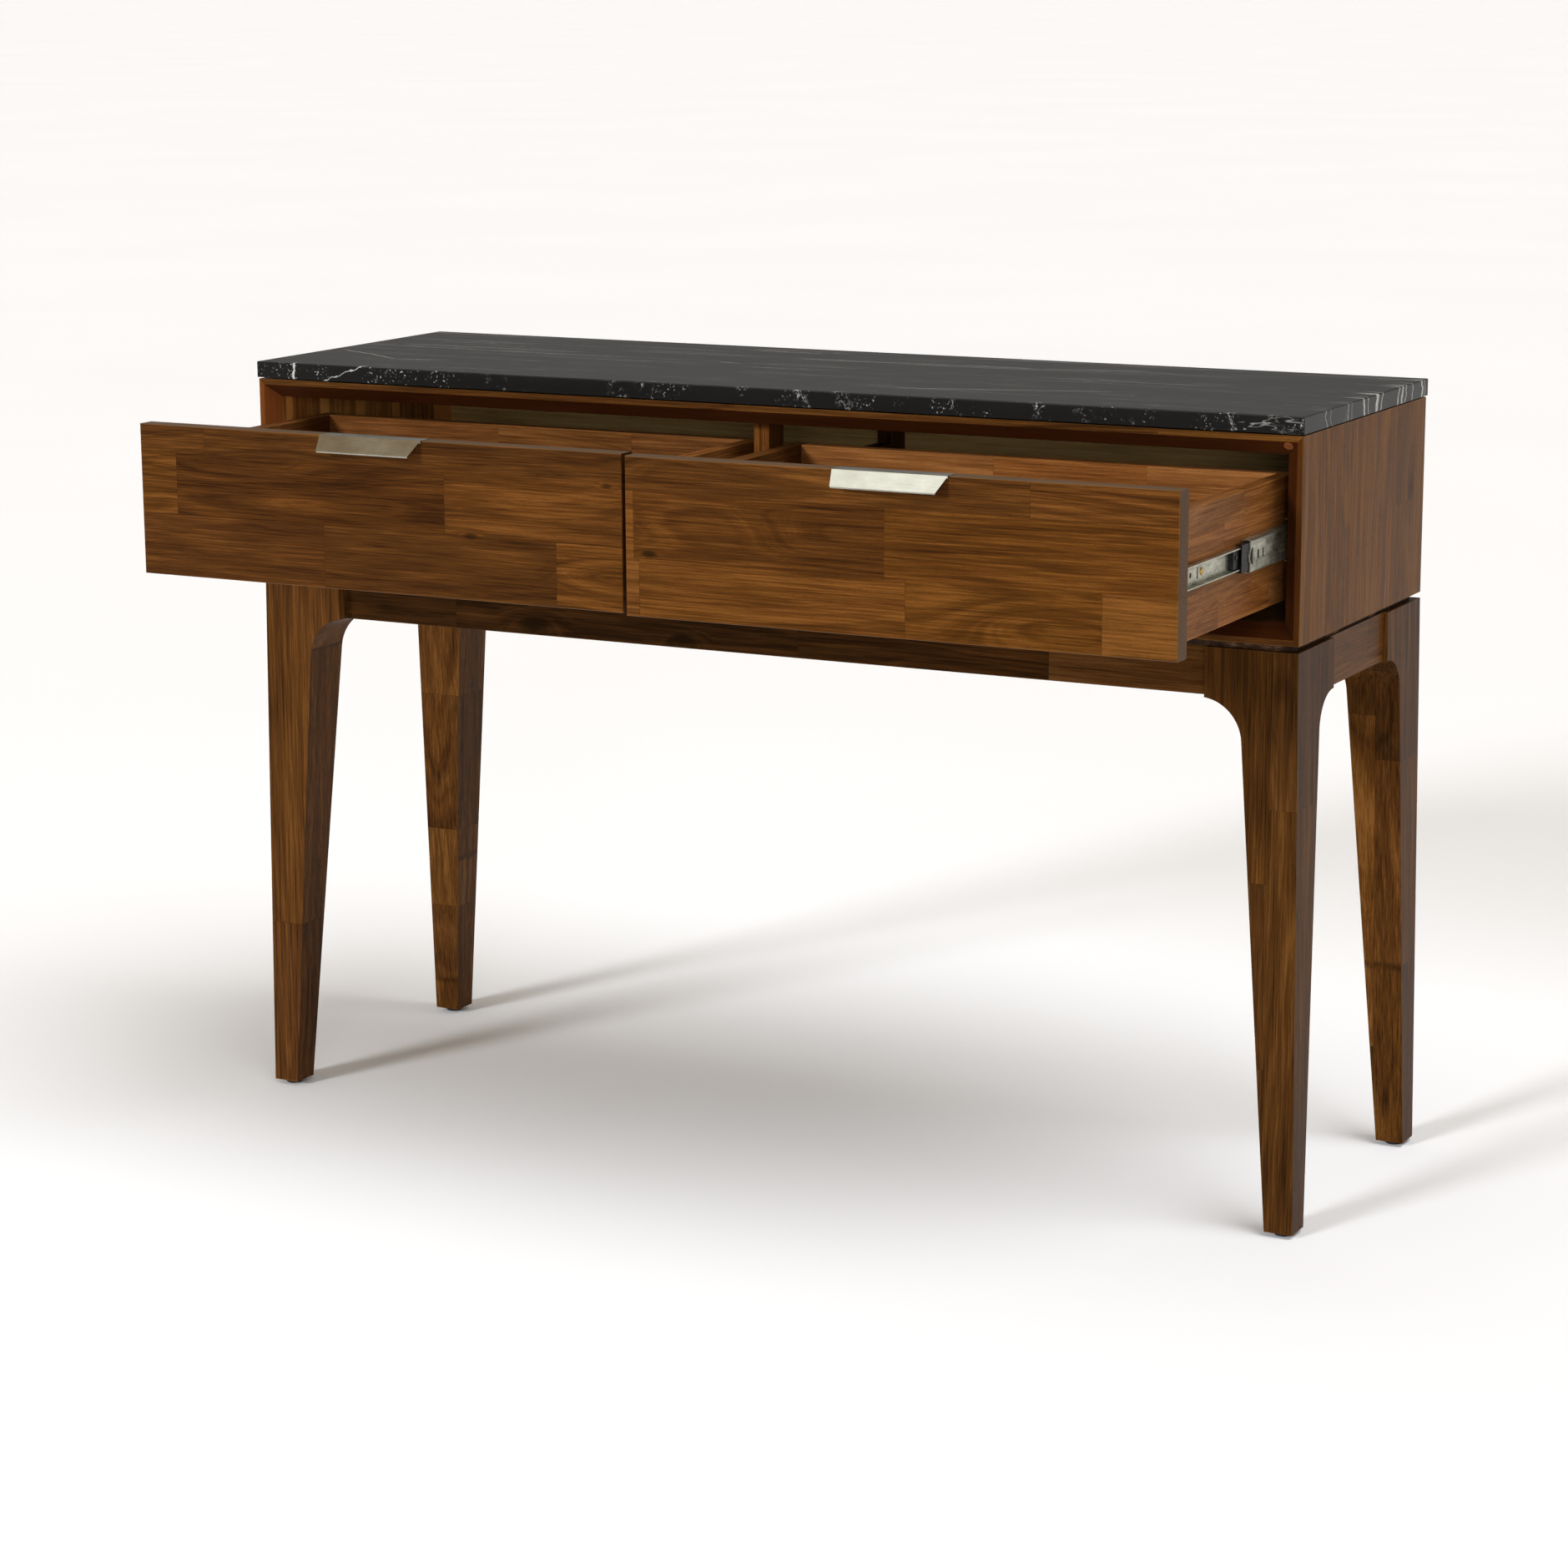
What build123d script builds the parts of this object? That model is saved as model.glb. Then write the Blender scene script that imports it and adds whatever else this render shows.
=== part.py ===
# Console table: a mitred two-drawer cabinet with a stone top, on a bracketed four-leg base.
# Millimetres, +Z up, front faces -Y. The drawers are built part open, each by its own distance,
# on telescopic side slides. Everything is drawn about the middle of the cabinet, then set back by
# STAND_Y, so that the origin is on the floor at the middle of the whole footprint, drawers included.
import os
from math import atan2, cos, hypot, sin, sqrt

from build123d import *

# ---- stone top
TOP_W = 1205.0
TOP_D = 368.2
TOP_T = 17.2
TOP_EASE = 1.2
PAD_T = 1.7
PAD_R = 9.0
PAD_X = 520.0
PAD_Y = 140.0

# ---- cabinet
CASE_W = 1202.4
CASE_D = 364.2
CASE_Z0 = 596.6
CASE_Z1 = 799.9
BOARD = 19.5
BEVEL = 13.5
BACK_T = 9.0
BACK_LAP = 9.5
POST_W = 18.0
POST_D = 32.0
POST_FRONT_Y = -147.6
POST_EASE = 1.0
RAIL_H = 60.0
FELT_R = 4.8
FELT_T = 1.2
FELT_X = 585.0
FELT_UP = 0.7

# ---- base
SPACER_T = 6.4
SPACER_X = 594.0
SPACER_FRONT_Y = -178.5
SPACER_BACK_Y = 168.0
SPACER_SCREW_X = 400.0
SPACER_SCREW_Y = 240.0
LEG_TOP_Z = CASE_Z0 - SPACER_T
LEG_FOOT_Z = 5.0
LEG_TOP_OUT_X = 601.1
LEG_FOOT_OUT_X = 609.5
LEG_TOP_OUT_Y = 182.5
LEG_FOOT_OUT_Y = 184.9
LEG_TOP_IN_X = 538.0
LEG_FOOT_IN_X = 579.6
LEG_TOP_IN_Y = 115.6
LEG_FOOT_IN_Y = 153.1
LEG_SPARE = 20.0
EAR_END_X = 505.0
EAR_END_Y = 81.0
EAR_CENTRE_X = 500.5
EAR_CENTRE_Y = 83.0
EAR_CENTRE_XZ = 496.0
EAR_CENTRE_YZ = 501.5
EAR_ROOT = 30.0
APRON_T = 20.0
APRON_Z0 = 539.5
APRON_FRONT_SET = 15.0
APRON_SIDE_SET = 4.8
APRON_EASE = 0.8
GLIDE_R = 9.0
GLIDE_EASE = 1.0
BRACE_H = 38.0
BRACE_Z0 = 546.0
BRACE_LEG = 31.0
BRACE_REACH = 440.0
BOLT_R = 3.0
BOLT_IN_LEG = 28.0
BOLT_HEAD_R = 5.8
BOLT_HEAD_T = 4.0

# ---- screws and the play round them
FIT = 0.05
SCREW_R = 2.0
HEAD_R = 3.6
HEAD_T = 1.6
BITE = 12.0
PILOT = 12.5
THIN_BITE = 8.5
BOX_BITE = 11.0
BOX_PILOT = 11.5

# ---- drawers
FRONT_T = 21.0
FRONT_IN_X = 4.9
FRONT_OUT_X = 579.1
FRONT_Z0 = 622.4
FRONT_Z1 = 778.8
FRONT_SHUT_Y = -169.1
BOX_LEN = 304.0
BOX_T = 15.0
BOX_Z0 = 633.8
BOX_Z1 = 755.6
FLOOR_T = 6.0
FLOOR_UP = 8.0
GROOVE = 5.5
FLOOR_IN = 5.0
LEFT_OPEN = 258.8
RIGHT_OPEN = 269.9
FRONT_EASE = 1.4
FRONT_REAR_EASE = 1.0
BOX_EASE = 1.5
FRONT_SCREW_X = 200.0
FRONT_SCREW_Z = 28.0

# ---- edge pull of bent sheet
PULL_LEN = 120.0
PULL_T = 2.0
PULL_FLANGE = 17.0
PULL_PROUD = 0.4
PULL_BEND = 1.0
PULL_OUT = 16.3
PULL_DROP = 14.7
PULL_TAPER = 6.4
PULL_OFFSET = -2.5
PULL_ROUND = 1.8
PULL_CUT_DOWN = 0.4
PULL_CUT_OUT = 5.0
PULL_CUT_Y = 1.2
PULL_PLAY = 0.5

# ---- telescopic slide, sizes across the gap between wall and drawer box
SLIDE_T = 12.7
SLIDE_LEN = 300.0
SLIDE_Z = 694.2
SLIDE_FRONT_Y = -146.1
SHEET = 1.2
SHEET_BEND = 2.2
OUTER_H = 42.0
OUTER_LIP = 10.6
MID_H = 32.0
MID_LEN = 280.0
MID_FRONT_Y = -126.0
MID_IN = 2.0
MID_LIP = 11.0
EYE_SET = 7.0
EYE_R = 8.4
MID_SLOTS = (20.5, 33.5)
MID_SLOT_W = 4.2
MID_SLOT_H = 8.8
REAR_SLOT_SET = 30.0
REAR_SLOT_W = 20.0
REAR_SLOT_H = 9.0
REAR_SLOT_R = 1.5
BEAD_T = 0.5
BEAD_SET = 14.0
BEAD_END = 10.0
BEAD_TOP = -5.8
BEAD_LOW = -8.0
INNER_H = 21.5
INNER_IN = 4.9
BALL_R = 1.7
LEVER_IN = 6.4
LEVER_SET = 122.0
LEVER_LEN = 22.0
LEVER_H = 16.8
TONGUE_IN = 2.5
TONGUE_LEN = 5.0
TONGUE_H = 6.0
KNOB_SET = 6.5
KNOB_UP = 2.5
KNOB_R = 2.6
KNOB_T = 0.8
CAGE_T = 1.0
CAGE_LEN = 150.0
CAGE_FRONT_Y = -77.6
CAGE_IN = 3.5
CAGE_OUT = 10.0
BALL_IN = 7.6
BALLS_PER_ROW = 6
BALL_END = 8.0
CAGE_SHARE = 0.75
MID_SHARE = 0.5

HALF_W = CASE_W / 2
HALF_D = CASE_D / 2
IN_X = HALF_W - BOARD
IN_Z0 = CASE_Z0 + BOARD
IN_Z1 = CASE_Z1 - BOARD
BACK_FRONT_Y = HALF_D - BACK_T
REAR_POST_Y = BACK_FRONT_Y - POST_D
BOX_OUT_X = IN_X - SLIDE_T
BOX_IN_X = POST_W / 2 + SLIDE_T
PULL_END_Y = FRONT_SHUT_Y - max(LEFT_OPEN, RIGHT_OPEN) - PULL_BEND - PULL_OUT
STAND_Y = -(PULL_END_Y + LEG_FOOT_OUT_Y) / 2
SLIDE_SCREWS = (54.5, 166.0, 262.0)
EMPTY_HOLE = 26.5
EMPTY_HOLE_R = 2.6
EMPTY_SLOT = 44.0
EMPTY_SLOT_W = 3.4
EMPTY_SLOT_H = 11.0
SEAT = 0.5
FLUSH_HEAD_T = 1.0

os.makedirs("parts", exist_ok=True)


def save(piece, node):
    """Set a finished piece back into the table's frame, label it and write it as one STEP file."""
    piece.part.move(Location((0, STAND_Y, 0)))
    piece.part.label = node
    export_step(piece.part, f"parts/{node}.step")


def slab(x0, x1, y0, y1, z0, z1, mode=Mode.ADD):
    """A block between two corners, added to the part being built."""
    with BuildSketch(Plane.XY.offset(z0)) as base:
        with Locations(((x0 + x1) / 2, (y0 + y1) / 2)):
            Rectangle(abs(x1 - x0), abs(y1 - y0))
    extrude(base.sketch, amount=z1 - z0, mode=mode)


def peg(plane, x, y, radius, length, mode=Mode.ADD):
    """A round peg or hole, standing on a plane at local x, y."""
    with BuildSketch(plane) as base:
        with Locations((x, y)):
            Circle(radius)
    extrude(base.sketch, amount=length, mode=mode)


# ======================================================================= stone top
with BuildPart() as marble_top:
    slab(-TOP_W / 2, TOP_W / 2, -TOP_D / 2, TOP_D / 2, CASE_Z1 + PAD_T, CASE_Z1 + PAD_T + TOP_T)
    upper = marble_top.faces().sort_by(Axis.Z)[-1].edges()
    fillet(marble_top.edges().filter_by(Axis.Z) + upper, radius=TOP_EASE)
save(marble_top, "marble_top")

with BuildPart() as marble_pads:
    with BuildSketch(Plane.XY.offset(CASE_Z1)):
        with GridLocations(PAD_X, 2 * PAD_Y, 3, 2):
            Circle(PAD_R)
    extrude(amount=PAD_T)
save(marble_pads, "marble_pads")


# ======================================================================= cabinet
def rabbet():
    """The step round the rear of the case that the back panel drops into."""
    with BuildSketch(Plane.XZ.offset(-HALF_D)) as step:
        with Locations((0, (CASE_Z0 + CASE_Z1) / 2)):
            Rectangle(2 * (IN_X + BACK_LAP), IN_Z1 - IN_Z0 + 2 * BACK_LAP)
    extrude(step.sketch, amount=BACK_T, mode=Mode.SUBTRACT)


def level_board(node, z_out, z_in):
    """Top or bottom board: mitred ends, bevelled front inner edge, rabbeted rear."""
    with BuildPart() as board:
        with BuildSketch(Plane.XZ.offset(-HALF_D)):
            with BuildLine():
                Polyline((-HALF_W, z_out), (HALF_W, z_out), (IN_X, z_in), (-IN_X, z_in), close=True)
            make_face()
        extrude(amount=CASE_D)
        front = board.edges().filter_by(Axis.X).group_by(Axis.Y)[0]
        chamfer(front.sort_by(lambda e: abs(e.center().Z - z_in))[0], length=BEVEL)
        rabbet()
        if z_out < z_in:
            for x in (-SPACER_SCREW_X, 0.0, SPACER_SCREW_X):
                for y in (-SPACER_SCREW_Y / 2, SPACER_SCREW_Y / 2):
                    peg(Plane.XY.offset(z_out), x, y, SCREW_R + FIT, PILOT, Mode.SUBTRACT)
    save(board, node)


def upright_board(node, side):
    """Left (side -1) or right (side 1) board of the case."""
    with BuildPart() as board:
        with BuildSketch(Plane.XZ.offset(-HALF_D)):
            with BuildLine():
                Polyline(
                    (side * HALF_W, CASE_Z0),
                    (side * HALF_W, CASE_Z1),
                    (side * IN_X, IN_Z1),
                    (side * IN_X, IN_Z0),
                    close=True,
                )
            make_face()
        extrude(amount=CASE_D)
        front = board.edges().filter_by(Axis.Z).group_by(Axis.Y)[0]
        chamfer(front.sort_by(lambda e: abs(e.center().X))[0], length=BEVEL)
        rabbet()
        wall = Plane(origin=(side * IN_X, 0, 0), x_dir=(0, 1, 0), z_dir=(side, 0, 0))
        for step in (SLIDE_SCREWS[0], SLIDE_SCREWS[2]):
            peg(wall, SLIDE_FRONT_Y + step, side * SLIDE_Z, SCREW_R + FIT, PILOT, Mode.SUBTRACT)
    save(board, node)


level_board("cabinet_top", CASE_Z1, IN_Z1)
level_board("cabinet_bottom", CASE_Z0, IN_Z0)
upright_board("cabinet_left_side", -1)
upright_board("cabinet_right_side", 1)

with BuildPart() as cabinet_back_panel:
    lap = BACK_LAP
    slab(-IN_X - lap, IN_X + lap, BACK_FRONT_Y, HALF_D, IN_Z0 - lap, IN_Z1 + lap)
save(cabinet_back_panel, "cabinet_back_panel")


def cross_hole(y):
    """Screw hole through the centre partition from one slide to the other."""
    peg(Plane.YZ.offset(-POST_W / 2), y, SLIDE_Z, SCREW_R + FIT, POST_W, Mode.SUBTRACT)


with BuildPart() as centre_front_post:
    slab(-POST_W / 2, POST_W / 2, POST_FRONT_Y, POST_FRONT_Y + POST_D, IN_Z0, IN_Z1)
    fillet(centre_front_post.edges().filter_by(Axis.Z).group_by(Axis.Y)[0], radius=POST_EASE)
save(centre_front_post, "centre_front_post")

with BuildPart() as centre_rear_post:
    slab(-POST_W / 2, POST_W / 2, REAR_POST_Y, REAR_POST_Y + POST_D, IN_Z0, IN_Z1)
save(centre_rear_post, "centre_rear_post")

with BuildPart() as centre_slide_rail:
    rail_z = SLIDE_Z - RAIL_H / 2
    slab(-POST_W / 2, POST_W / 2, POST_FRONT_Y + POST_D, REAR_POST_Y, rail_z, rail_z + RAIL_H)
    cross_hole(SLIDE_FRONT_Y + SLIDE_SCREWS[0])
    cross_hole(SLIDE_FRONT_Y + SLIDE_SCREWS[2])
save(centre_slide_rail, "centre_slide_rail")

# A small round felt pad on the bevel under the top board, near its right end.
with BuildPart() as felt_pad:
    on_bevel = (FELT_X, -HALF_D + (1 - FELT_UP) * BEVEL, IN_Z1 + FELT_UP * BEVEL)
    with BuildSketch(Plane(origin=on_bevel, x_dir=(1, 0, 0), z_dir=(0, -1, -1))):
        Circle(FELT_R)
    extrude(amount=FELT_T)
save(felt_pad, "felt_pad")

# ======================================================================= base
with BuildPart() as base_spacer:
    slab(-SPACER_X, SPACER_X, SPACER_FRONT_Y, SPACER_BACK_Y, LEG_TOP_Z, CASE_Z0)
    with BuildSketch(Plane.XY.offset(LEG_TOP_Z)):
        with GridLocations(SPACER_SCREW_X, SPACER_SCREW_Y, 3, 2):
            Circle(SCREW_R + FIT)
    extrude(amount=SPACER_T, mode=Mode.SUBTRACT)
save(base_spacer, "base_spacer")

with BuildPart() as base_screws:
    with BuildSketch(Plane.XY.offset(LEG_TOP_Z - HEAD_T)):
        with GridLocations(SPACER_SCREW_X, SPACER_SCREW_Y, 3, 2):
            Circle(HEAD_R)
    extrude(amount=HEAD_T)
    with BuildSketch(Plane.XY.offset(LEG_TOP_Z)):
        with GridLocations(SPACER_SCREW_X, SPACER_SCREW_Y, 3, 2):
            Circle(SCREW_R)
    extrude(amount=SPACER_T + BITE)
save(base_screws, "base_screws")

BOLT_Z = BRACE_Z0 + BRACE_H / 2
APRON_SIDE_OUT = LEG_TOP_OUT_X - APRON_SIDE_SET
APRON_SIDE_IN = APRON_SIDE_OUT - APRON_T
APRON_FRONT_OUT = LEG_TOP_OUT_Y - APRON_FRONT_SET
APRON_FRONT_IN = APRON_FRONT_OUT - APRON_T
# the bolt of each corner brace starts at the middle of the brace's inner face
BRACE_FAR_Y = APRON_FRONT_IN - (APRON_SIDE_IN - BRACE_REACH)
BOLT_X = (BRACE_REACH + APRON_SIDE_IN) / 2
BOLT_Y = (APRON_FRONT_IN + BRACE_FAR_Y) / 2
BRACE_T = BRACE_LEG / sqrt(2)
BOLT_LEN = (LEG_TOP_IN_X - BOLT_X) * sqrt(2) + BOLT_IN_LEG


def bolt_plane(sx, sy):
    """Plane on a brace's inner face, looking out towards the leg."""
    return Plane(
        origin=(sx * BOLT_X, sy * BOLT_Y, BOLT_Z),
        x_dir=(0, 0, 1),
        z_dir=(sx, sy, 0),
    )


def ear_arc(end, centre, centre_z, top_in, foot_in):
    """Radius and three points of the bracket's concave arc, tangent to the leg's inner face."""
    slope = (foot_in - top_in) / (LEG_TOP_Z - LEG_FOOT_Z)
    face_here = top_in + slope * (LEG_TOP_Z - centre_z)
    radius = (face_here - centre) / hypot(1, slope)
    low = atan2(slope, 1)
    high = atan2(sqrt(radius**2 - (end - centre) ** 2), end - centre)
    stretch = hypot(1, slope)
    points = []
    for angle in (low, (low + high) / 2, high):
        down = LEG_TOP_Z - centre_z - radius * sin(angle)
        points.append((centre + radius * cos(angle), -down * stretch))
    return points


def ear(plane, sign, end, deep, arc, depth, outward):
    """One bracket ear, drawn on the leg's leaning inner face and carried out past the outer one."""
    low, middle, high = [(sign * a, b) for a, b in arc]
    with BuildSketch(plane) as face:
        with BuildLine():
            Polyline(high, (sign * end, 0), (sign * deep, 0), (sign * deep, low[1]), low)
            ThreePointArc(low, middle, high)
        make_face()
    extrude(face.sketch, amount=depth, dir=outward)


def leg(node, sx, sy):
    """A leg that tapers to its foot and leans out a little, with a bracket ear on two sides."""
    rise = LEG_TOP_Z - LEG_FOOT_Z
    past_x = LEG_FOOT_OUT_X + LEG_SPARE
    past_y = LEG_FOOT_OUT_Y + LEG_SPARE
    front_arc = ear_arc(EAR_END_X, EAR_CENTRE_X, EAR_CENTRE_XZ, LEG_TOP_IN_X, LEG_FOOT_IN_X)
    side_arc = ear_arc(EAR_END_Y, EAR_CENTRE_Y, EAR_CENTRE_YZ, LEG_TOP_IN_Y, LEG_FOOT_IN_Y)
    with BuildPart() as stock:
        for z, in_x, in_y in (
            (LEG_FOOT_Z, LEG_FOOT_IN_X, LEG_FOOT_IN_Y),
            (LEG_TOP_Z, LEG_TOP_IN_X, LEG_TOP_IN_Y),
        ):
            with BuildSketch(Plane.XY.offset(z)):
                with Locations((sx * (in_x + past_x) / 2, sy * (in_y + past_y) / 2)):
                    Rectangle(past_x - in_x, past_y - in_y)
        loft()
        # each ear is drawn with its local up direction along the leaning inner face
        across = Plane(
            origin=(0, sy * LEG_TOP_IN_Y, LEG_TOP_Z),
            x_dir=(-sy, 0, 0),
            z_dir=(0, sy * rise, LEG_FOOT_IN_Y - LEG_TOP_IN_Y),
        )
        along = Plane(
            origin=(sx * LEG_TOP_IN_X, 0, LEG_TOP_Z),
            x_dir=(0, sx, 0),
            z_dir=(sx * rise, 0, LEG_FOOT_IN_X - LEG_TOP_IN_X),
        )
        root_x = LEG_TOP_IN_X + EAR_ROOT
        root_y = LEG_TOP_IN_Y + EAR_ROOT
        ear(across, -sx * sy, EAR_END_X, root_x, front_arc, past_y - LEG_TOP_IN_Y, (0, sy, 0))
        ear(along, sx * sy, EAR_END_Y, root_y, side_arc, past_x - LEG_TOP_IN_X, (sx, 0, 0))
        lean_x = LEG_FOOT_OUT_X - LEG_TOP_OUT_X
        lean_y = LEG_FOOT_OUT_Y - LEG_TOP_OUT_Y
        face_x = Plane(origin=(sx * LEG_TOP_OUT_X, 0, LEG_TOP_Z), z_dir=(sx * rise, 0, lean_x))
        face_y = Plane(origin=(0, sy * LEG_TOP_OUT_Y, LEG_TOP_Z), z_dir=(0, sy * rise, lean_y))
        split(bisect_by=face_x, keep=Keep.BOTTOM)
        split(bisect_by=face_y, keep=Keep.BOTTOM)
        peg(bolt_plane(sx, sy), 0, 0, BOLT_R + FIT, BOLT_LEN + FIT, Mode.SUBTRACT)
    save(stock, node)


leg("leg_front_left", -1, -1)
leg("leg_front_right", 1, -1)
leg("leg_back_left", -1, 1)
leg("leg_back_right", 1, 1)


def apron(node, x0, x1, y0, y1):
    """A straight apron rail between two bracket ears."""
    with BuildPart() as rail:
        slab(x0, x1, y0, y1, APRON_Z0, LEG_TOP_Z)
        fillet(rail.faces().sort_by(Axis.Z)[0].edges(), radius=APRON_EASE)
    save(rail, node)


apron("apron_front", -EAR_END_X, EAR_END_X, -APRON_FRONT_OUT, -APRON_FRONT_IN)
apron("apron_back", -EAR_END_X, EAR_END_X, APRON_FRONT_IN, APRON_FRONT_OUT)
apron("apron_left", -APRON_SIDE_OUT, -APRON_SIDE_IN, -EAR_END_Y, EAR_END_Y)
apron("apron_right", APRON_SIDE_IN, APRON_SIDE_OUT, -EAR_END_Y, EAR_END_Y)

CORNERS = ((-1, -1), (1, -1), (-1, 1), (1, 1))

with BuildPart() as corner_braces:
    for cx, cy in CORNERS:
        with BuildSketch(Plane.XY.offset(BRACE_Z0)):
            with BuildLine():
                Polyline(
                    (cx * BRACE_REACH, cy * APRON_FRONT_IN),
                    (cx * (BRACE_REACH + BRACE_LEG), cy * APRON_FRONT_IN),
                    (cx * APRON_SIDE_IN, cy * (BRACE_FAR_Y + BRACE_LEG)),
                    (cx * APRON_SIDE_IN, cy * BRACE_FAR_Y),
                    close=True,
                )
            make_face()
        extrude(amount=BRACE_H)
        peg(bolt_plane(cx, cy), 0, 0, BOLT_R + FIT, BRACE_T + BOLT_R, Mode.SUBTRACT)
save(corner_braces, "corner_braces")

with BuildPart() as brace_bolts:
    for cx, cy in CORNERS:
        inward = bolt_plane(cx, cy)
        with BuildSketch(inward):
            RegularPolygon(radius=BOLT_HEAD_R, side_count=6)
        extrude(amount=-BOLT_HEAD_T)
        peg(inward, 0, 0, BOLT_R, BOLT_LEN)
save(brace_bolts, "brace_bolts")

with BuildPart() as floor_glides:
    foot_x = (LEG_FOOT_IN_X + LEG_FOOT_OUT_X) / 2
    foot_y = (LEG_FOOT_IN_Y + LEG_FOOT_OUT_Y) / 2
    with BuildSketch():
        with GridLocations(2 * foot_x, 2 * foot_y, 2, 2):
            Circle(GLIDE_R)
    extrude(amount=LEG_FOOT_Z)
    fillet(floor_glides.edges().filter_by(GeomType.CIRCLE).group_by(Axis.Z)[0], radius=GLIDE_EASE)
save(floor_glides, "floor_glides")


# ======================================================================= slides
def channel(wall_x, toward, u0, u1, height, web_at_start, y0, y1):
    """A C-section strip: web on one side, both flanges reaching across to the other."""
    x_mid = wall_x + toward * (u0 + u1) / 2
    width = u1 - u0
    shift = toward * (SHEET if web_at_start else -SHEET)
    with BuildSketch(Plane.XZ.offset(-y1)) as section:
        with Locations((x_mid, SLIDE_Z)):
            Rectangle(width, height)
        web_x = wall_x + toward * (u0 if web_at_start else u1)
        corners = section.vertices().sort_by(lambda v: abs(v.X - web_x))[0:2]
        fillet(corners, radius=SHEET_BEND)
        with Locations((x_mid + shift, SLIDE_Z)):
            Rectangle(width, height - 2 * SHEET, mode=Mode.SUBTRACT)
    extrude(section.sketch, amount=y1 - y0)


def through_web(wall_x, toward, y, radius):
    """A screw hole in a slide member's web."""
    plane = Plane(origin=(wall_x, 0, 0), x_dir=(0, toward, 0), z_dir=(toward, 0, 0))
    peg(plane, toward * y, SLIDE_Z, radius, SHEET, Mode.SUBTRACT)


def pan_screw(x, toward, y, length, head):
    """A screw whose head's underside is at x, driven in the direction toward."""
    plane = Plane(origin=(x, 0, 0), x_dir=(0, toward, 0), z_dir=(toward, 0, 0))
    peg(plane, toward * y, SLIDE_Z, HEAD_R, -head)
    peg(plane, toward * y, SLIDE_Z, SCREW_R, length)


def walls(side):
    """Outer and inner wall face of one drawer bay, and the direction from each to the box."""
    return ((side * IN_X, -side), (side * POST_W / 2, side))


def cabinet_members(node, side):
    """The two fixed slide members of one bay."""
    y0 = SLIDE_FRONT_Y
    with BuildPart() as fixed:
        for wall_x, toward in walls(side):
            channel(wall_x, toward, 0.0, OUTER_LIP, OUTER_H, True, y0, y0 + SLIDE_LEN)
            for step in (SLIDE_SCREWS[0], SLIDE_SCREWS[2]):
                through_web(wall_x, toward, y0 + step, SCREW_R + FIT)
                through_web(wall_x + toward * SEAT, toward, y0 + step, HEAD_R + FIT)
    save(fixed, node)


def middle_member(node, side, which, opening):
    """The middle member of one slide, carried halfway out."""
    wall_x, toward = walls(side)[which]
    y0 = MID_FRONT_Y - MID_SHARE * opening
    with BuildPart() as middle:
        channel(wall_x, toward, MID_IN, MID_LIP, MID_H, True, y0, y0 + MID_LEN)
        web = wall_x + toward * MID_IN
        face = Plane(origin=(web, 0, 0), x_dir=(0, toward, 0), z_dir=(toward, 0, 0))
        eye_y = toward * (y0 + EYE_SET)
        peg(face, eye_y, SLIDE_Z, EYE_R + SHEET, SHEET)
        with BuildSketch(face):
            with Locations((eye_y, SLIDE_Z)):
                Circle(EYE_R)
            with Locations((eye_y + toward * EYE_R / 2, SLIDE_Z)):
                Rectangle(EYE_R, 2 * EYE_R, mode=Mode.SUBTRACT)
            for step in MID_SLOTS:
                with Locations((toward * (y0 + step), SLIDE_Z)):
                    Rectangle(MID_SLOT_W, MID_SLOT_H)
            with Locations((toward * (y0 + MID_LEN - REAR_SLOT_SET), SLIDE_Z)):
                RectangleRounded(REAR_SLOT_W, REAR_SLOT_H, REAR_SLOT_R)
        extrude(amount=SHEET, mode=Mode.SUBTRACT)
        bead_y0 = y0 + BEAD_SET
        bead_y1 = y0 + MID_LEN - BEAD_END
        slab(web - toward * BEAD_T, web, bead_y0, bead_y1, SLIDE_Z + BEAD_LOW, SLIDE_Z + BEAD_TOP)
    save(middle, node)


def ball_cage(node, side, which, opening):
    """The ball retainer between the middle member and the drawer member, with its balls."""
    wall_x, toward = walls(side)[which]
    y0 = CAGE_FRONT_Y - CAGE_SHARE * opening
    row = (MID_H / 2 - SHEET + INNER_H / 2) / 2
    ball_x = wall_x + toward * BALL_IN
    with BuildPart() as cage:
        x_mid = wall_x + toward * (CAGE_IN + CAGE_OUT) / 2
        width = CAGE_OUT - CAGE_IN
        with BuildSketch(Plane.XZ.offset(-(y0 + CAGE_LEN))):
            with Locations((x_mid, SLIDE_Z)):
                Rectangle(width, 2 * row + CAGE_T)
            with Locations((x_mid + toward * CAGE_T, SLIDE_Z)):
                Rectangle(width, 2 * row - CAGE_T, mode=Mode.SUBTRACT)
        extrude(amount=CAGE_LEN)
        pitch = (CAGE_LEN - 2 * BALL_END) / (BALLS_PER_ROW - 1)
        spots = [y0 + BALL_END + k * pitch for k in range(BALLS_PER_ROW)]
        with BuildSketch(Plane.XY.offset(SLIDE_Z - row - CAGE_T)):
            with Locations([(ball_x, y) for y in spots]):
                Circle(BALL_R + FIT)
        extrude(amount=2 * row + 2 * CAGE_T, mode=Mode.SUBTRACT)
        for z in (SLIDE_Z - row, SLIDE_Z + row):
            with Locations([(ball_x, y, z) for y in spots]):
                Sphere(BALL_R)
    save(cage, node)


with BuildPart() as slide_cabinet_screws:
    for side in (-1, 1):
        for step in (SLIDE_SCREWS[0], SLIDE_SCREWS[2]):
            y = SLIDE_FRONT_Y + step
            pan_screw(side * (IN_X - SEAT), side, y, SEAT + BITE, FLUSH_HEAD_T)
            pan_screw(side * (POST_W / 2 + SEAT), -side, y, SEAT + THIN_BITE, FLUSH_HEAD_T)
save(slide_cabinet_screws, "slide_cabinet_screws")


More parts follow.
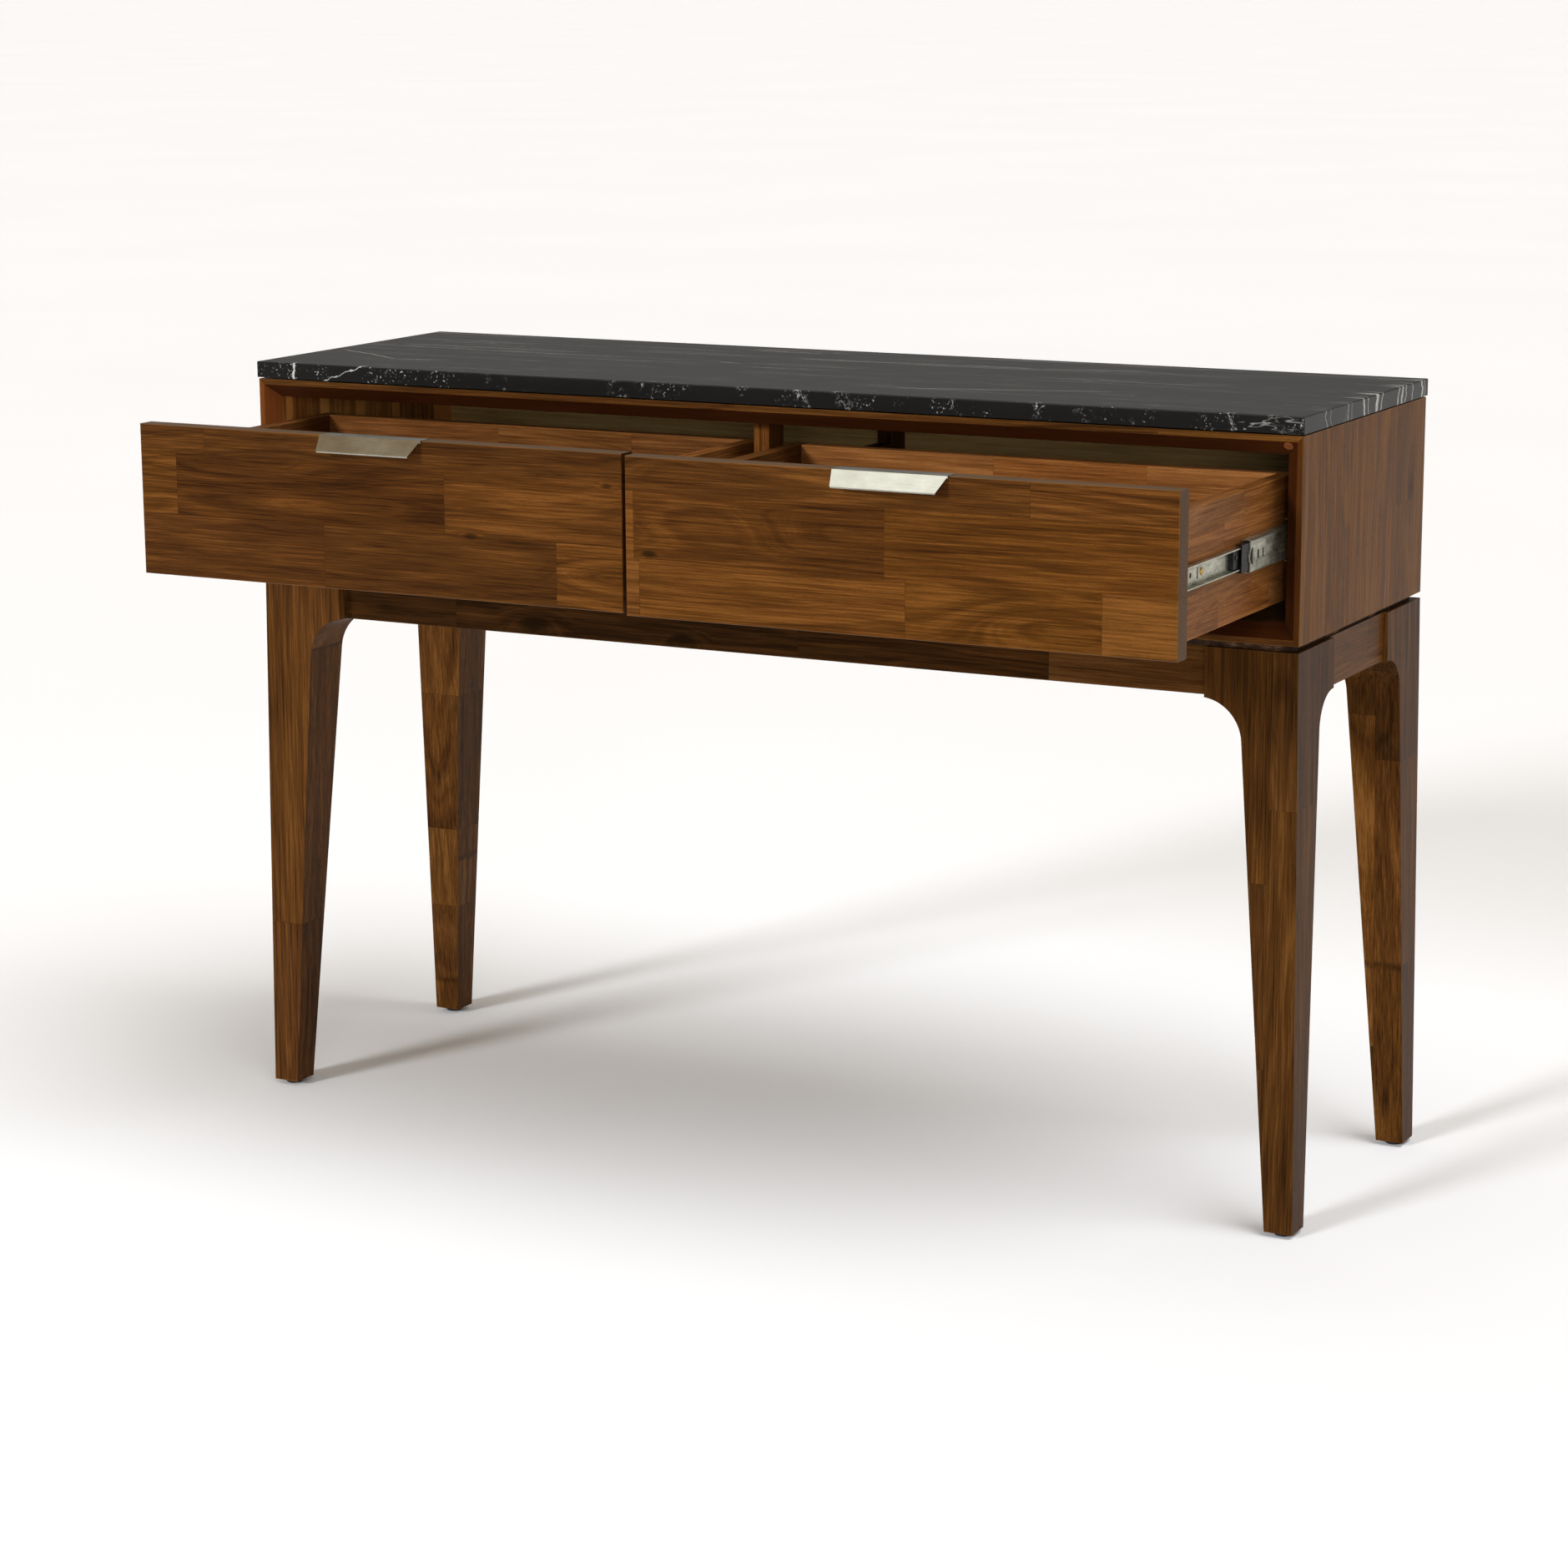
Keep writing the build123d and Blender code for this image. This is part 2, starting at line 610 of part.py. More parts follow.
# ======================================================================= drawers
def pull_profile(face_y):
    """Section of the bent-sheet pull: a flange let into the top edge and a lip sloping out and down."""
    lip = hypot(PULL_OUT, PULL_DROP)
    back_y = PULL_T * PULL_DROP / lip
    back_z = -PULL_T * PULL_OUT / lip
    top = FRONT_Z1 + PULL_PROUD
    bend = face_y - PULL_BEND
    end = (bend - PULL_OUT, top - PULL_DROP)
    inner_end = (end[0] + back_y, end[1] + back_z)
    drop = (PULL_T + back_z) / PULL_DROP
    inner_bend = (bend + back_y - drop * PULL_OUT, top - PULL_T)
    flange = face_y + PULL_FLANGE
    return [(flange, top), (bend, top), end, inner_end, inner_bend, (flange, top - PULL_T)]


def pull(node, side, face_y):
    """The handle: its lip's ends are cut at a slant, so its lower edge is the shorter one."""
    middle = side * (FRONT_IN_X + FRONT_OUT_X) / 2 + PULL_OFFSET
    top = FRONT_Z1 + PULL_PROUD
    with BuildPart() as handle:
        with BuildSketch(Plane.YZ.offset(middle - PULL_LEN / 2)):
            with BuildLine():
                Polyline(*pull_profile(face_y), close=True)
            make_face()
        extrude(amount=PULL_LEN)
        bend = Vector(middle, face_y - PULL_BEND, top)
        long_edges = handle.edges().filter_by(Axis.X)
        fillet(long_edges.sort_by(lambda edge: (edge.center() - bend).length)[0], radius=PULL_ROUND)
        low = top - PULL_DROP - PULL_T
        for end in (-1, 1):
            x_end = middle + end * PULL_LEN / 2
            with BuildSketch(Plane.XZ.offset(-(face_y - PULL_CUT_Y))):
                with BuildLine():
                    Polyline(
                        (x_end + end * FIT, top - PULL_CUT_DOWN),
                        (x_end + end * PULL_CUT_OUT, low),
                        (x_end - end * PULL_TAPER, low),
                        close=True,
                    )
                make_face()
            extrude(amount=PULL_OUT + PULL_CUT_OUT, mode=Mode.SUBTRACT)
    save(handle, node)
    return middle


def drawer(name, side, opening):
    """One drawer: a slab front screwed to a four-sided box with a grooved-in floor."""
    face_y = FRONT_SHUT_Y - opening
    rear_y = face_y + FRONT_T
    end_y = rear_y + BOX_LEN
    near = side * BOX_IN_X
    far = side * BOX_OUT_X
    near_in = near + side * BOX_T
    far_in = far - side * BOX_T
    mid_x = (near + far) / 2
    floor_z = BOX_Z0 + FLOOR_UP
    screw_spots = []
    for dx in (-FRONT_SCREW_X, FRONT_SCREW_X):
        for dz in (-FRONT_SCREW_Z, FRONT_SCREW_Z):
            screw_spots.append((mid_x + dx, SLIDE_Z + dz))
    middle = pull(f"{name}_drawer_handle", side, face_y)

    with BuildPart() as front:
        slab(side * FRONT_IN_X, side * FRONT_OUT_X, face_y, rear_y, FRONT_Z0, FRONT_Z1)
        fillet(front.faces().sort_by(Axis.Y)[0].edges(), radius=FRONT_EASE)
        top_edges = front.edges().filter_by(Axis.X).group_by(Axis.Z)[-1]
        fillet(top_edges.sort_by(Axis.Y)[-1], radius=FRONT_REAR_EASE)
        # the pull's flange lies in a shallow notch in the top edge
        left = middle - PULL_LEN / 2 - PULL_PLAY
        right = middle + PULL_LEN / 2 + PULL_PLAY
        notch_y = face_y + PULL_FLANGE + PULL_PROUD
        notch_z = FRONT_Z1 + PULL_PROUD - PULL_T
        slab(left, right, face_y, notch_y, notch_z, FRONT_Z1, Mode.SUBTRACT)
        for x, z in screw_spots:
            peg(Plane.XZ.offset(-rear_y), x, z, SCREW_R + FIT, PILOT, Mode.SUBTRACT)
    save(front, f"{name}_drawer_front")

    with BuildPart() as inner_front:
        slab(near_in, far_in, rear_y, rear_y + BOX_T, BOX_Z0, BOX_Z1)
        cut = rear_y + BOX_T - GROOVE
        slab(near_in, far_in, cut, rear_y + BOX_T, floor_z, floor_z + FLOOR_T, Mode.SUBTRACT)
        for x, z in screw_spots:
            peg(Plane.XZ.offset(-(rear_y + BOX_T)), x, z, SCREW_R + FIT, BOX_T, Mode.SUBTRACT)
    save(inner_front, f"{name}_drawer_inner_front")

    for outside, inside in ((near, near_in), (far, far_in)):
        label = "left" if outside < inside else "right"
        into = 1 if inside > outside else -1
        with BuildPart() as box_side:
            slab(outside, inside, rear_y, end_y, BOX_Z0, BOX_Z1)
            fillet(box_side.edges().filter_by(Axis.Y).group_by(Axis.Z)[-1], radius=BOX_EASE)
            groove_x = inside - into * GROOVE
            slab(groove_x, inside, rear_y, end_y, floor_z, floor_z + FLOOR_T, Mode.SUBTRACT)
            plane = Plane(origin=(outside, 0, 0), x_dir=(0, into, 0), z_dir=(into, 0, 0))
            for step in SLIDE_SCREWS:
                y = SLIDE_FRONT_Y - opening + step
                peg(plane, into * y, SLIDE_Z, SCREW_R + FIT, BOX_PILOT, Mode.SUBTRACT)
        save(box_side, f"{name}_drawer_{label}_side")

    with BuildPart() as box_back:
        slab(near_in, far_in, end_y - BOX_T, end_y, BOX_Z0, BOX_Z1)
        fillet(box_back.edges().filter_by(Axis.X).group_by(Axis.Z)[-1], radius=BOX_EASE)
        cut = end_y - BOX_T + GROOVE
        slab(near_in, far_in, end_y - BOX_T, cut, floor_z, floor_z + FLOOR_T, Mode.SUBTRACT)
    save(box_back, f"{name}_drawer_back")

    with BuildPart() as box_floor:
        x0 = near_in - side * FLOOR_IN
        x1 = far_in + side * FLOOR_IN
        y0 = rear_y + BOX_T - FLOOR_IN
        y1 = end_y - BOX_T + FLOOR_IN
        slab(x0, x1, y0, y1, floor_z, floor_z + FLOOR_T)
    save(box_floor, f"{name}_drawer_floor")

    with BuildPart() as front_screws:
        for x, z in screw_spots:
            plane = Plane.XZ.offset(-(rear_y + BOX_T))
            peg(plane, x, z, HEAD_R, -HEAD_T)
            peg(plane, x, z, SCREW_R, BOX_T + BITE)
    save(front_screws, f"{name}_drawer_front_screws")

    y_slide = SLIDE_FRONT_Y - opening
    for key, (wall_x, toward) in zip(("outer", "inner"), walls(side)):
        with BuildPart() as member:
            channel(wall_x, toward, INNER_IN, SLIDE_T, INNER_H, False, y_slide, y_slide + SLIDE_LEN)
            web_x = wall_x + toward * (SLIDE_T - SHEET)
            for step in SLIDE_SCREWS:
                through_web(web_x, toward, y_slide + step, SCREW_R + FIT)
            through_web(web_x, toward, y_slide + EMPTY_HOLE, EMPTY_HOLE_R)
            web = Plane(origin=(web_x, 0, 0), x_dir=(0, toward, 0), z_dir=(toward, 0, 0))
            with BuildSketch(web) as slot:
                with Locations((toward * (y_slide + EMPTY_SLOT), SLIDE_Z)):
                    Rectangle(EMPTY_SLOT_W, EMPTY_SLOT_H)
            extrude(slot.sketch, amount=SHEET, mode=Mode.SUBTRACT)
        save(member, f"{name}_slide_drawer_member_{key}")

    with BuildPart() as slide_screws:
        for wall_x, toward in walls(side):
            for step in SLIDE_SCREWS:
                head_x = wall_x + toward * (SLIDE_T - SHEET)
                pan_screw(head_x, toward, y_slide + step, SHEET + BOX_BITE, FLUSH_HEAD_T)
    save(slide_screws, f"{name}_drawer_slide_screws")

    with BuildPart() as levers:
        for wall_x, toward in walls(side):
            u0 = wall_x + toward * LEVER_IN
            u1 = wall_x + toward * (SLIDE_T - SHEET)
            y0 = y_slide + LEVER_SET
            y1 = y0 + LEVER_LEN
            slab(u0, u1, y0, y1, SLIDE_Z - LEVER_H / 2, SLIDE_Z + LEVER_H / 2)
            tongue = u0 + toward * TONGUE_IN
            slab(tongue, u1, y1, y1 + TONGUE_LEN, SLIDE_Z - TONGUE_H / 2, SLIDE_Z + TONGUE_H / 2)
            knob = Plane(origin=(u0, 0, 0), x_dir=(0, toward, 0), z_dir=(toward, 0, 0))
            peg(knob, toward * (y0 + KNOB_SET), SLIDE_Z + KNOB_UP, KNOB_R, -KNOB_T)
    save(levers, f"{name}_slide_release_levers")

    cabinet_members(f"{name}_slide_cabinet_members", side)
    for which, key in enumerate(("outer", "inner")):
        middle_member(f"{name}_slide_middle_member_{key}", side, which, opening)
        ball_cage(f"{name}_slide_ball_cage_{key}", side, which, opening)


drawer("left", -1, LEFT_OPEN)
drawer("right", 1, RIGHT_OPEN)
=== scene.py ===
"""Looks of a console table with a black marble top, two open drawers and four tapered legs.

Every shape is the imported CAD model's own. This script gives each piece its material, and adds the
floor, the lights and the camera. Lengths are in metres, in the frame of the CAD model.
"""

import math
import random

import bpy
from mathutils import Matrix, Vector


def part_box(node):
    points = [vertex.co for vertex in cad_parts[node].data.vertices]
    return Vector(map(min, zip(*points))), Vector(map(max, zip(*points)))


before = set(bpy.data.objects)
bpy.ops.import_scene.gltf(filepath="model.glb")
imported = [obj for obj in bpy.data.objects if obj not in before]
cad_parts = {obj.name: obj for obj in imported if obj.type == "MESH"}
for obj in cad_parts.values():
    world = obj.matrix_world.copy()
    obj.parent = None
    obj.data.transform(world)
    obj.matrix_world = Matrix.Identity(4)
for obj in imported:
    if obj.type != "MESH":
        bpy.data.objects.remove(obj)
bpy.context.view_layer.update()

MM = 0.001

# ---------------------------------------------------------------- camera and lights
CAMERA_PLACE = Vector((1.85276, -3.50406, 1.25565))
CAMERA_TURN = math.radians(27.6386)     # to the left of +Y
CAMERA_DROP = math.radians(12.2419)     # below the horizon
CAMERA_ROLL = math.radians(-0.3075)
LENS_MM = 88.46
SENSOR_MM = 36.0
VIEW_END = 400.0

SUNS = {    # (degrees left of the table's front, degrees above the horizon, strength, spread)
    "key": (20.0, 20.0, 2.35, 13.0),
    "side": (-70.0, 58.0, 1.95, 42.0),
    "fill": (-26.0, 8.0, 0.72, 14.0),
}
PANEL_PLACE = Vector((-0.35, -0.42, 3.00))      # a soft box overhead, which the right pull reflects
PANEL_WIDTH = 1.50
PANEL_DEPTH = 1.00
PANEL_POWER = 7.6
PANEL_COLOUR = (0.98, 1.06, 1.10)
ROOM_LIGHT = 0.28
ROOM_LEVEL = (1.0, 0.99, 0.97, 1.0)     # the room's colours: level, overhead and low down
ROOM_ABOVE = (1.25, 0.94, 0.60, 1.0)
ROOM_HORIZON = (3.3, 3.3, 3.2, 1.0)
ABOVE_FROM, ABOVE_TO = 0.35, 0.75       # heights on a unit sphere between which the room changes
HORIZON_FROM, HORIZON_TO = 0.02, 0.09

FLOOR_SIZE = 300.0

# ---------------------------------------------------------------- wood
SEAM_HALF_WIDTH = 0.45 * MM
EDGE_WEAR = 1.6 * MM
FIBRE_SCALE = 520.0         # noise cells to a metre across the grain
STREAK_SCALE = 60.0
BEND_SCALE = 9.0
RIPPLE_SCALE = 60.0
RING_SCALE = 190.0
PORE_SCALE = 2400.0
CLOUD_SCALE = 9.0
FIBRE_STRETCH = 0.022       # along the grain against across it
STREAK_STRETCH = 0.06
BEND_STRETCH = 0.24
RIPPLE_STRETCH = 0.12
PORE_STRETCH = 0.07
CLOUD_STRETCH = 0.35
HEART_PITCH = 0.048         # half the distance between the hearts that blocks are sawn from
HEART_SPREAD = 0.11         # how far blocks differ in the place of their heart
HEART_BEND = 0.040
PITH_DEPTH = 0.004          # least distance of the heart behind a board's face
PITH_SPREAD = 0.060
PITH_TILT = 0.10
PITH_BEND = 0.050
RING_RIPPLE = 0.0045
DEEP_BLOCK_STEP = 37.0      # keeps the numbers of blocks in different layers apart
ENDLESS = 9.0               # longer than any board
FINISH_TINT = (1.0, 0.50, 0.16, 1.0)
FINISH_GLOSS = 0.06


def display(red, green, blue):
    """A colour given as it looks on a screen, 0 to 255, in the linear values that shaders use."""
    parts = []
    for value in (red, green, blue):
        value /= 255.0
        parts.append(value / 12.92 if value <= 0.04045 else ((value + 0.055) / 1.055) ** 2.4)
    return (*parts, 1.0)


def set_or_link(tree, socket, value):
    """Feeds a socket from a field, or sets the socket itself to a plain number or colour."""
    if isinstance(value, Field):
        tree.links.new(value.socket, socket)
    else:
        socket.default_value = value


class Field:
    """A value that varies over a surface. Arithmetic on it adds Math nodes to the material."""

    def __init__(self, tree, socket):
        self.tree = tree
        self.socket = socket

    def compute(self, operation, *others, clamp=False):
        node = self.tree.nodes.new("ShaderNodeMath")
        node.operation = operation
        node.use_clamp = clamp
        for socket, value in zip(node.inputs, (self, *others)):
            set_or_link(self.tree, socket, value)
        return Field(self.tree, node.outputs[0])

    def __add__(self, other):
        return self.compute("ADD", other)

    def __sub__(self, other):
        return self.compute("SUBTRACT", other)

    def __mul__(self, other):
        return self.compute("MULTIPLY", other)

    def __abs__(self):
        return self.compute("ABSOLUTE")

    def over(self, limit):
        """1 where the field is above the limit, and 0 elsewhere."""
        return self.compute("GREATER_THAN", limit)

    def least(self, other):
        return self.compute("MINIMUM", other)

    def most(self, other):
        return self.compute("MAXIMUM", other)

    def near(self, limit):
        """Distance from the limit."""
        return abs(self - limit)

    def wave(self):
        """A sine of the field, brought to 0..1."""
        return self.compute("SINE").compute("MULTIPLY_ADD", 0.5, 0.5)

    def root(self):
        return self.compute("SQRT")

    def fold(self, reach):
        """Runs up and down between 0 and reach."""
        return self.compute("PINGPONG", reach)

    def sink(self):
        """One minus the field."""
        return self.compute("MULTIPLY_ADD", -1.0, 1.0)

    def ease(self, low, high, out_low=0.0, out_high=1.0):
        """Rises smoothly from out_low to out_high while the field goes from low to high."""
        node = self.tree.nodes.new("ShaderNodeMapRange")
        node.interpolation_type = "SMOOTHSTEP"
        for socket, value in zip(node.inputs, (self, low, high, out_low, out_high)):
            set_or_link(self.tree, socket, value)
        return Field(self.tree, node.outputs[0])


class Paint:
    """A material being made: its node tree, and the place on the surface as fields x, y and z."""

    def __init__(self, name):
        self.material = bpy.data.materials.new(name)
        self.material.use_nodes = True
        self.tree = self.material.node_tree
        self.tree.nodes.clear()
        self.place = self.field(self.add("ShaderNodeTexCoord").outputs["Object"])
        split = self.add("ShaderNodeSeparateXYZ")
        set_or_link(self.tree, split.inputs[0], self.place)
        self.x, self.y, self.z = (self.field(socket) for socket in split.outputs)

    def add(self, kind, **settings):
        node = self.tree.nodes.new(kind)
        for name, value in settings.items():
            setattr(node, name, value)
        return node

    def field(self, socket):
        return Field(self.tree, socket)

    def axis(self, letter):
        return {"x": self.x, "y": self.y, "z": self.z}[letter]

    def facing(self, letter):
        """How squarely the surface faces along an axis of the piece, 0 to 1."""
        split = self.add("ShaderNodeSeparateXYZ")
        normal = self.add("ShaderNodeTexCoord").outputs["Normal"]
        self.tree.links.new(normal, split.inputs[0])
        return abs(self.field(split.outputs["xyz".index(letter)]))

    def point(self, x, y, z):
        node = self.add("ShaderNodeCombineXYZ")
        for socket, value in zip(node.inputs, (x, y, z)):
            set_or_link(self.tree, socket, value)
        return self.field(node.outputs[0])

    def noise(self, point, scale, detail=2.0, roughness=0.5, distortion=0.0):
        node = self.add("ShaderNodeTexNoise", noise_dimensions="3D")
        set_or_link(self.tree, node.inputs["Vector"], point)
        node.inputs["Scale"].default_value = scale
        node.inputs["Detail"].default_value = detail
        node.inputs["Roughness"].default_value = roughness
        node.inputs["Distortion"].default_value = distortion
        return self.field(node.outputs["Fac"])

    def cells(self, point, scale):
        """Distance from the middle of the nearest of many random cells."""
        node = self.add("ShaderNodeTexVoronoi")
        set_or_link(self.tree, node.inputs["Vector"], point)
        node.inputs["Scale"].default_value = scale
        return self.field(node.outputs["Distance"])

    def chances(self, number):
        """Three random fields, each constant where the number is."""
        node = self.add("ShaderNodeTexWhiteNoise", noise_dimensions="1D")
        set_or_link(self.tree, node.inputs["W"], number)
        split = self.add("ShaderNodeSeparateColor")
        self.tree.links.new(node.outputs["Color"], split.inputs[0])
        return [self.field(socket) for socket in split.outputs]

    def mix(self, factor, first, second, kind="MIX"):
        node = self.add("ShaderNodeMix", data_type="RGBA", blend_type=kind)
        set_or_link(self.tree, node.inputs[0], factor)
        set_or_link(self.tree, node.inputs[6], first)
        set_or_link(self.tree, node.inputs[7], second)
        return self.field(node.outputs[2])

    def ramp(self, value, *stops):
        node = self.add("ShaderNodeValToRGB")
        set_or_link(self.tree, node.inputs[0], value)
        elements = node.color_ramp.elements
        while len(elements) < len(stops):
            elements.new(1.0)
        for element, (place, colour) in zip(elements, stops):
            element.position = place
            element.color = colour
        return self.field(node.outputs[0])

    def vary(self, colour, hue, saturation, value):
        """The colour with its hue, saturation and value changed by fields or numbers."""
        node = self.add("ShaderNodeHueSaturation")
        set_or_link(self.tree, node.inputs["Hue"], hue)
        set_or_link(self.tree, node.inputs["Saturation"], saturation)
        set_or_link(self.tree, node.inputs["Value"], value)
        set_or_link(self.tree, node.inputs["Color"], colour)
        return self.field(node.outputs[0])

    def edge_distance(self, node):
        """Distance from the nearest long edge of a CAD node's box."""
        low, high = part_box(node)
        gaps = []
        for index, place in enumerate((self.x, self.y, self.z)):
            gaps.append(place.near(low[index]).least(place.near(high[index])))
        first, second, third = gaps
        return first.least(second).most(first.most(second).least(third))

    def close(self, colour, roughness, height=None, depth=0.0, strength=1.0, **constants):
        """Ends the material in one principled shader. The constants are set on its own sockets."""
        shader = self.add("ShaderNodeBsdfPrincipled")
        set_or_link(self.tree, shader.inputs["Base Color"], colour)
        set_or_link(self.tree, shader.inputs["Roughness"], roughness)
        for name, value in constants.items():
            shader.inputs[name.replace("_", " ")].default_value = value
        if height is not None:
            bump = self.add("ShaderNodeBump")
            bump.inputs["Strength"].default_value = strength
            bump.inputs["Distance"].default_value = depth
            set_or_link(self.tree, bump.inputs["Height"], height)
            self.tree.links.new(bump.outputs[0], shader.inputs["Normal"])
        output = self.add("ShaderNodeOutputMaterial")
        self.tree.links.new(shader.outputs[0], output.inputs["Surface"])
        return self.material


def dress(node, material):
    """Gives a CAD node its material."""
    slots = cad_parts[node].data.materials
    slots.clear()
    slots.append(material)


# ---------------------------------------------------------------- layout of glued wood blocks
def rows_by_share(low, high, start, end, rows):
    """Rows given as shares of a board, in metres: [(lower edge, [joints], [tone of each block])]."""
    placed = []
    for edge, joints, tones in rows:
        spots = [start + share * (end - start) for share in joints]
        placed.append((low + edge * (high - low), spots, tones))
    return placed


def rows_by_chance(low, high, start, end, width, length, draw):
    """Rows of glued blocks of uneven width and length that cover a board."""
    rows = []
    edge = low
    while edge < high:
        joints = []
        spot = start + draw.uniform(0.1, 1.0) * length
        while spot < end:
            joints.append(spot)
            spot += draw.uniform(0.6, 1.4) * length
        rows.append((edge, joints, ()))
        edge += draw.uniform(0.65, 1.35) * width
    return rows


def total(fields):
    """The sum of fields and numbers, with the numbers first in the list."""
    whole, *others = fields
    for field in others:
        whole = whole + field if isinstance(whole, Field) else field + whole
    return whole


def nearest(fields):
    """The lowest of several fields at each point."""
    whole, *others = fields
    for field in others:
        whole = whole.least(field)
    return whole


def strongest(fields):
    """The highest of several fields at each point."""
    whole, *others = fields
    for field in others:
        whole = whole.most(field)
    return whole


def row_masks(across, edges):
    """For each row of blocks a field that is 1 in it and 0 elsewhere. The edges are between rows."""
    above = [across.over(edge) for edge in edges]
    if not above:
        return [across.over(-ENDLESS)]
    middle = [lower - upper for lower, upper in zip(above, above[1:])]
    return [above[0].sink(), *middle, above[-1]]


def block_cells(across, along, rows):
    """The number and tone of the glued block at a point, and the distances from the joints.

    The tone is None where the rows give no tones.
    """
    edges = [edge for edge, _, _ in rows[1:]]
    gaps = [across.near(edge) for edge in edges]
    numbers, toned = [], []
    for index, (inside, (_, joints, tones)) in enumerate(zip(row_masks(across, edges), rows)):
        steps = [along.over(spot) for spot in joints]
        gaps += [along.near(spot) + inside.sink() for spot in joints]
        numbers.append(inside * total([1.0 + 10.0 * index, *steps]))
        if tones:
            changes = [step * (tones[k + 1] - tones[k]) for k, step in enumerate(steps)]
            toned.append(inside * total([tones[0], *changes]))
    return total(numbers), total(toned) if toned else None, gaps


# ---------------------------------------------------------------- stained wood
STAINED = {
    "dark": display(36, 20, 7),
    "middle": display(78, 47, 18),
    "light": display(112, 74, 34),
}
FRONT = {
    "dark": display(36, 17, 5),
    "middle": display(71, 41, 13),
    "light": display(108, 67, 27),
}
OUTSIDE = {
    "dark": display(36, 19, 6),
    "middle": display(78, 46, 13),
    "light": display(112, 73, 27),
}
BOX = {
    "dark": display(66, 36, 14),
    "middle": display(106, 65, 30),
    "light": display(140, 93, 50),
}
RAW = {
    "dark": display(128, 92, 56),
    "middle": display(168, 130, 86),
    "light": display(196, 160, 112),
}
KNOT_COLOUR = display(20, 11, 4)


class Wood(Paint):
    """The material of a board, with the place on it as fields along, across and into the grain."""

    def __init__(self, node, grain, rise):
        super().__init__(f"{node}_wood")
        self.node = node
        self.thickness = next(letter for letter in "xyz" if letter not in (grain, rise))
        self.along = self.axis(grain)
        self.across = self.axis(rise)
        self.inward = self.axis(self.thickness)

    def drawn_out(self, stretch, scale, detail=2.0, roughness=0.5, drift=0.0):
        """Noise drawn out along the grain, and shifted along it by the drift."""
        point = self.point(self.along * stretch + drift, self.across, self.inward)
        return self.noise(point, scale, detail, roughness)

    def inner_face(self):
        """1 on the face with the higher coordinate through the board's thickness."""
        low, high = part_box(self.node)
        index = "xyz".index(self.thickness)
        inner_half = self.inward.over((low[index] + high[index]) / 2)
        return inner_half * self.facing(self.thickness).ease(0.80, 0.95)

    def growth_rings(self, drift, hue, shift, knots):
        """Rings round a heart that wanders slowly along each block, and the dark marks of knots.

        A knot is (place along the grain, place across it, size, how much its length is squashed,
        darkness), and the rings run round it.
        """
        low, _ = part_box(self.node)
        depth_in = self.inward - low["xyz".index(self.thickness)]
        bend = self.drawn_out(BEND_STRETCH, BEND_SCALE, drift=drift) - 0.5
        ripple = self.drawn_out(RIPPLE_STRETCH, RIPPLE_SCALE, drift=drift) - 0.5
        heart = (self.across + shift * HEART_SPREAD + bend * HEART_BEND).fold(HEART_PITCH)
        tilt = self.along * (hue - 0.5) * PITH_TILT
        depth = depth_in + hue * PITH_SPREAD + tilt + bend * PITH_BEND + PITH_DEPTH
        radius = (heart * heart + depth * depth).root() + ripple * RING_RIPPLE
        marks = []
        for knot_along, knot_across, size, squash, darkness in knots:
            ahead = (self.along - knot_along) * squash
            aside = self.across - knot_across
            away = (ahead * ahead + aside * aside).root() + ripple * size * 0.8
            radius = radius + away.ease(0.0, size * 2.5, size * 1.6, 0.0)
            marks.append(away.ease(size * 0.35, size * 1.2).sink() * darkness)
        rings = self.noise(self.point(radius, drift, self.along * 0.02), RING_SCALE, 3.0, 0.60)
        return rings, marks

    def paint_edges(self, colour, bevel, front_edge, rim):
        """Other colours on slanting edges and on faces to the front and back, painted shade on most of the
        cabinet's opening and painted light on its left side, and a painted sheen, grey like lacquer
        reflecting a pale room at a grazing view, on the top and right end.
        """
        squarely = self.facing("y")
        # Slanting faces take the bevel colour: painted shade on most boards, painted light on the left
        # side.
        if bevel is not None:
            slanting = squarely.ease(0.50, 0.60) * squarely.ease(0.80, 0.90).sink()
            colour = self.mix(slanting * 0.85, colour, bevel)
        # Faces straight to the front and back take the front edge colour: painted light on the left side,
        # painted shade on the right side.
        if front_edge is not None:
            colour = self.mix(squarely.ease(0.80, 0.90) * 0.85, colour, front_edge)
        # Top faces and the right drawer's right end: a painted sheen, the grey reflection of the lacquer.
        if rim is not None:
            right_end = self.facing("x") * self.x.over(0.3)
            rims = self.facing("z").most(right_end).ease(0.3, 0.8)
            colour = self.mix(rims * 0.60, colour, rim)
        return colour


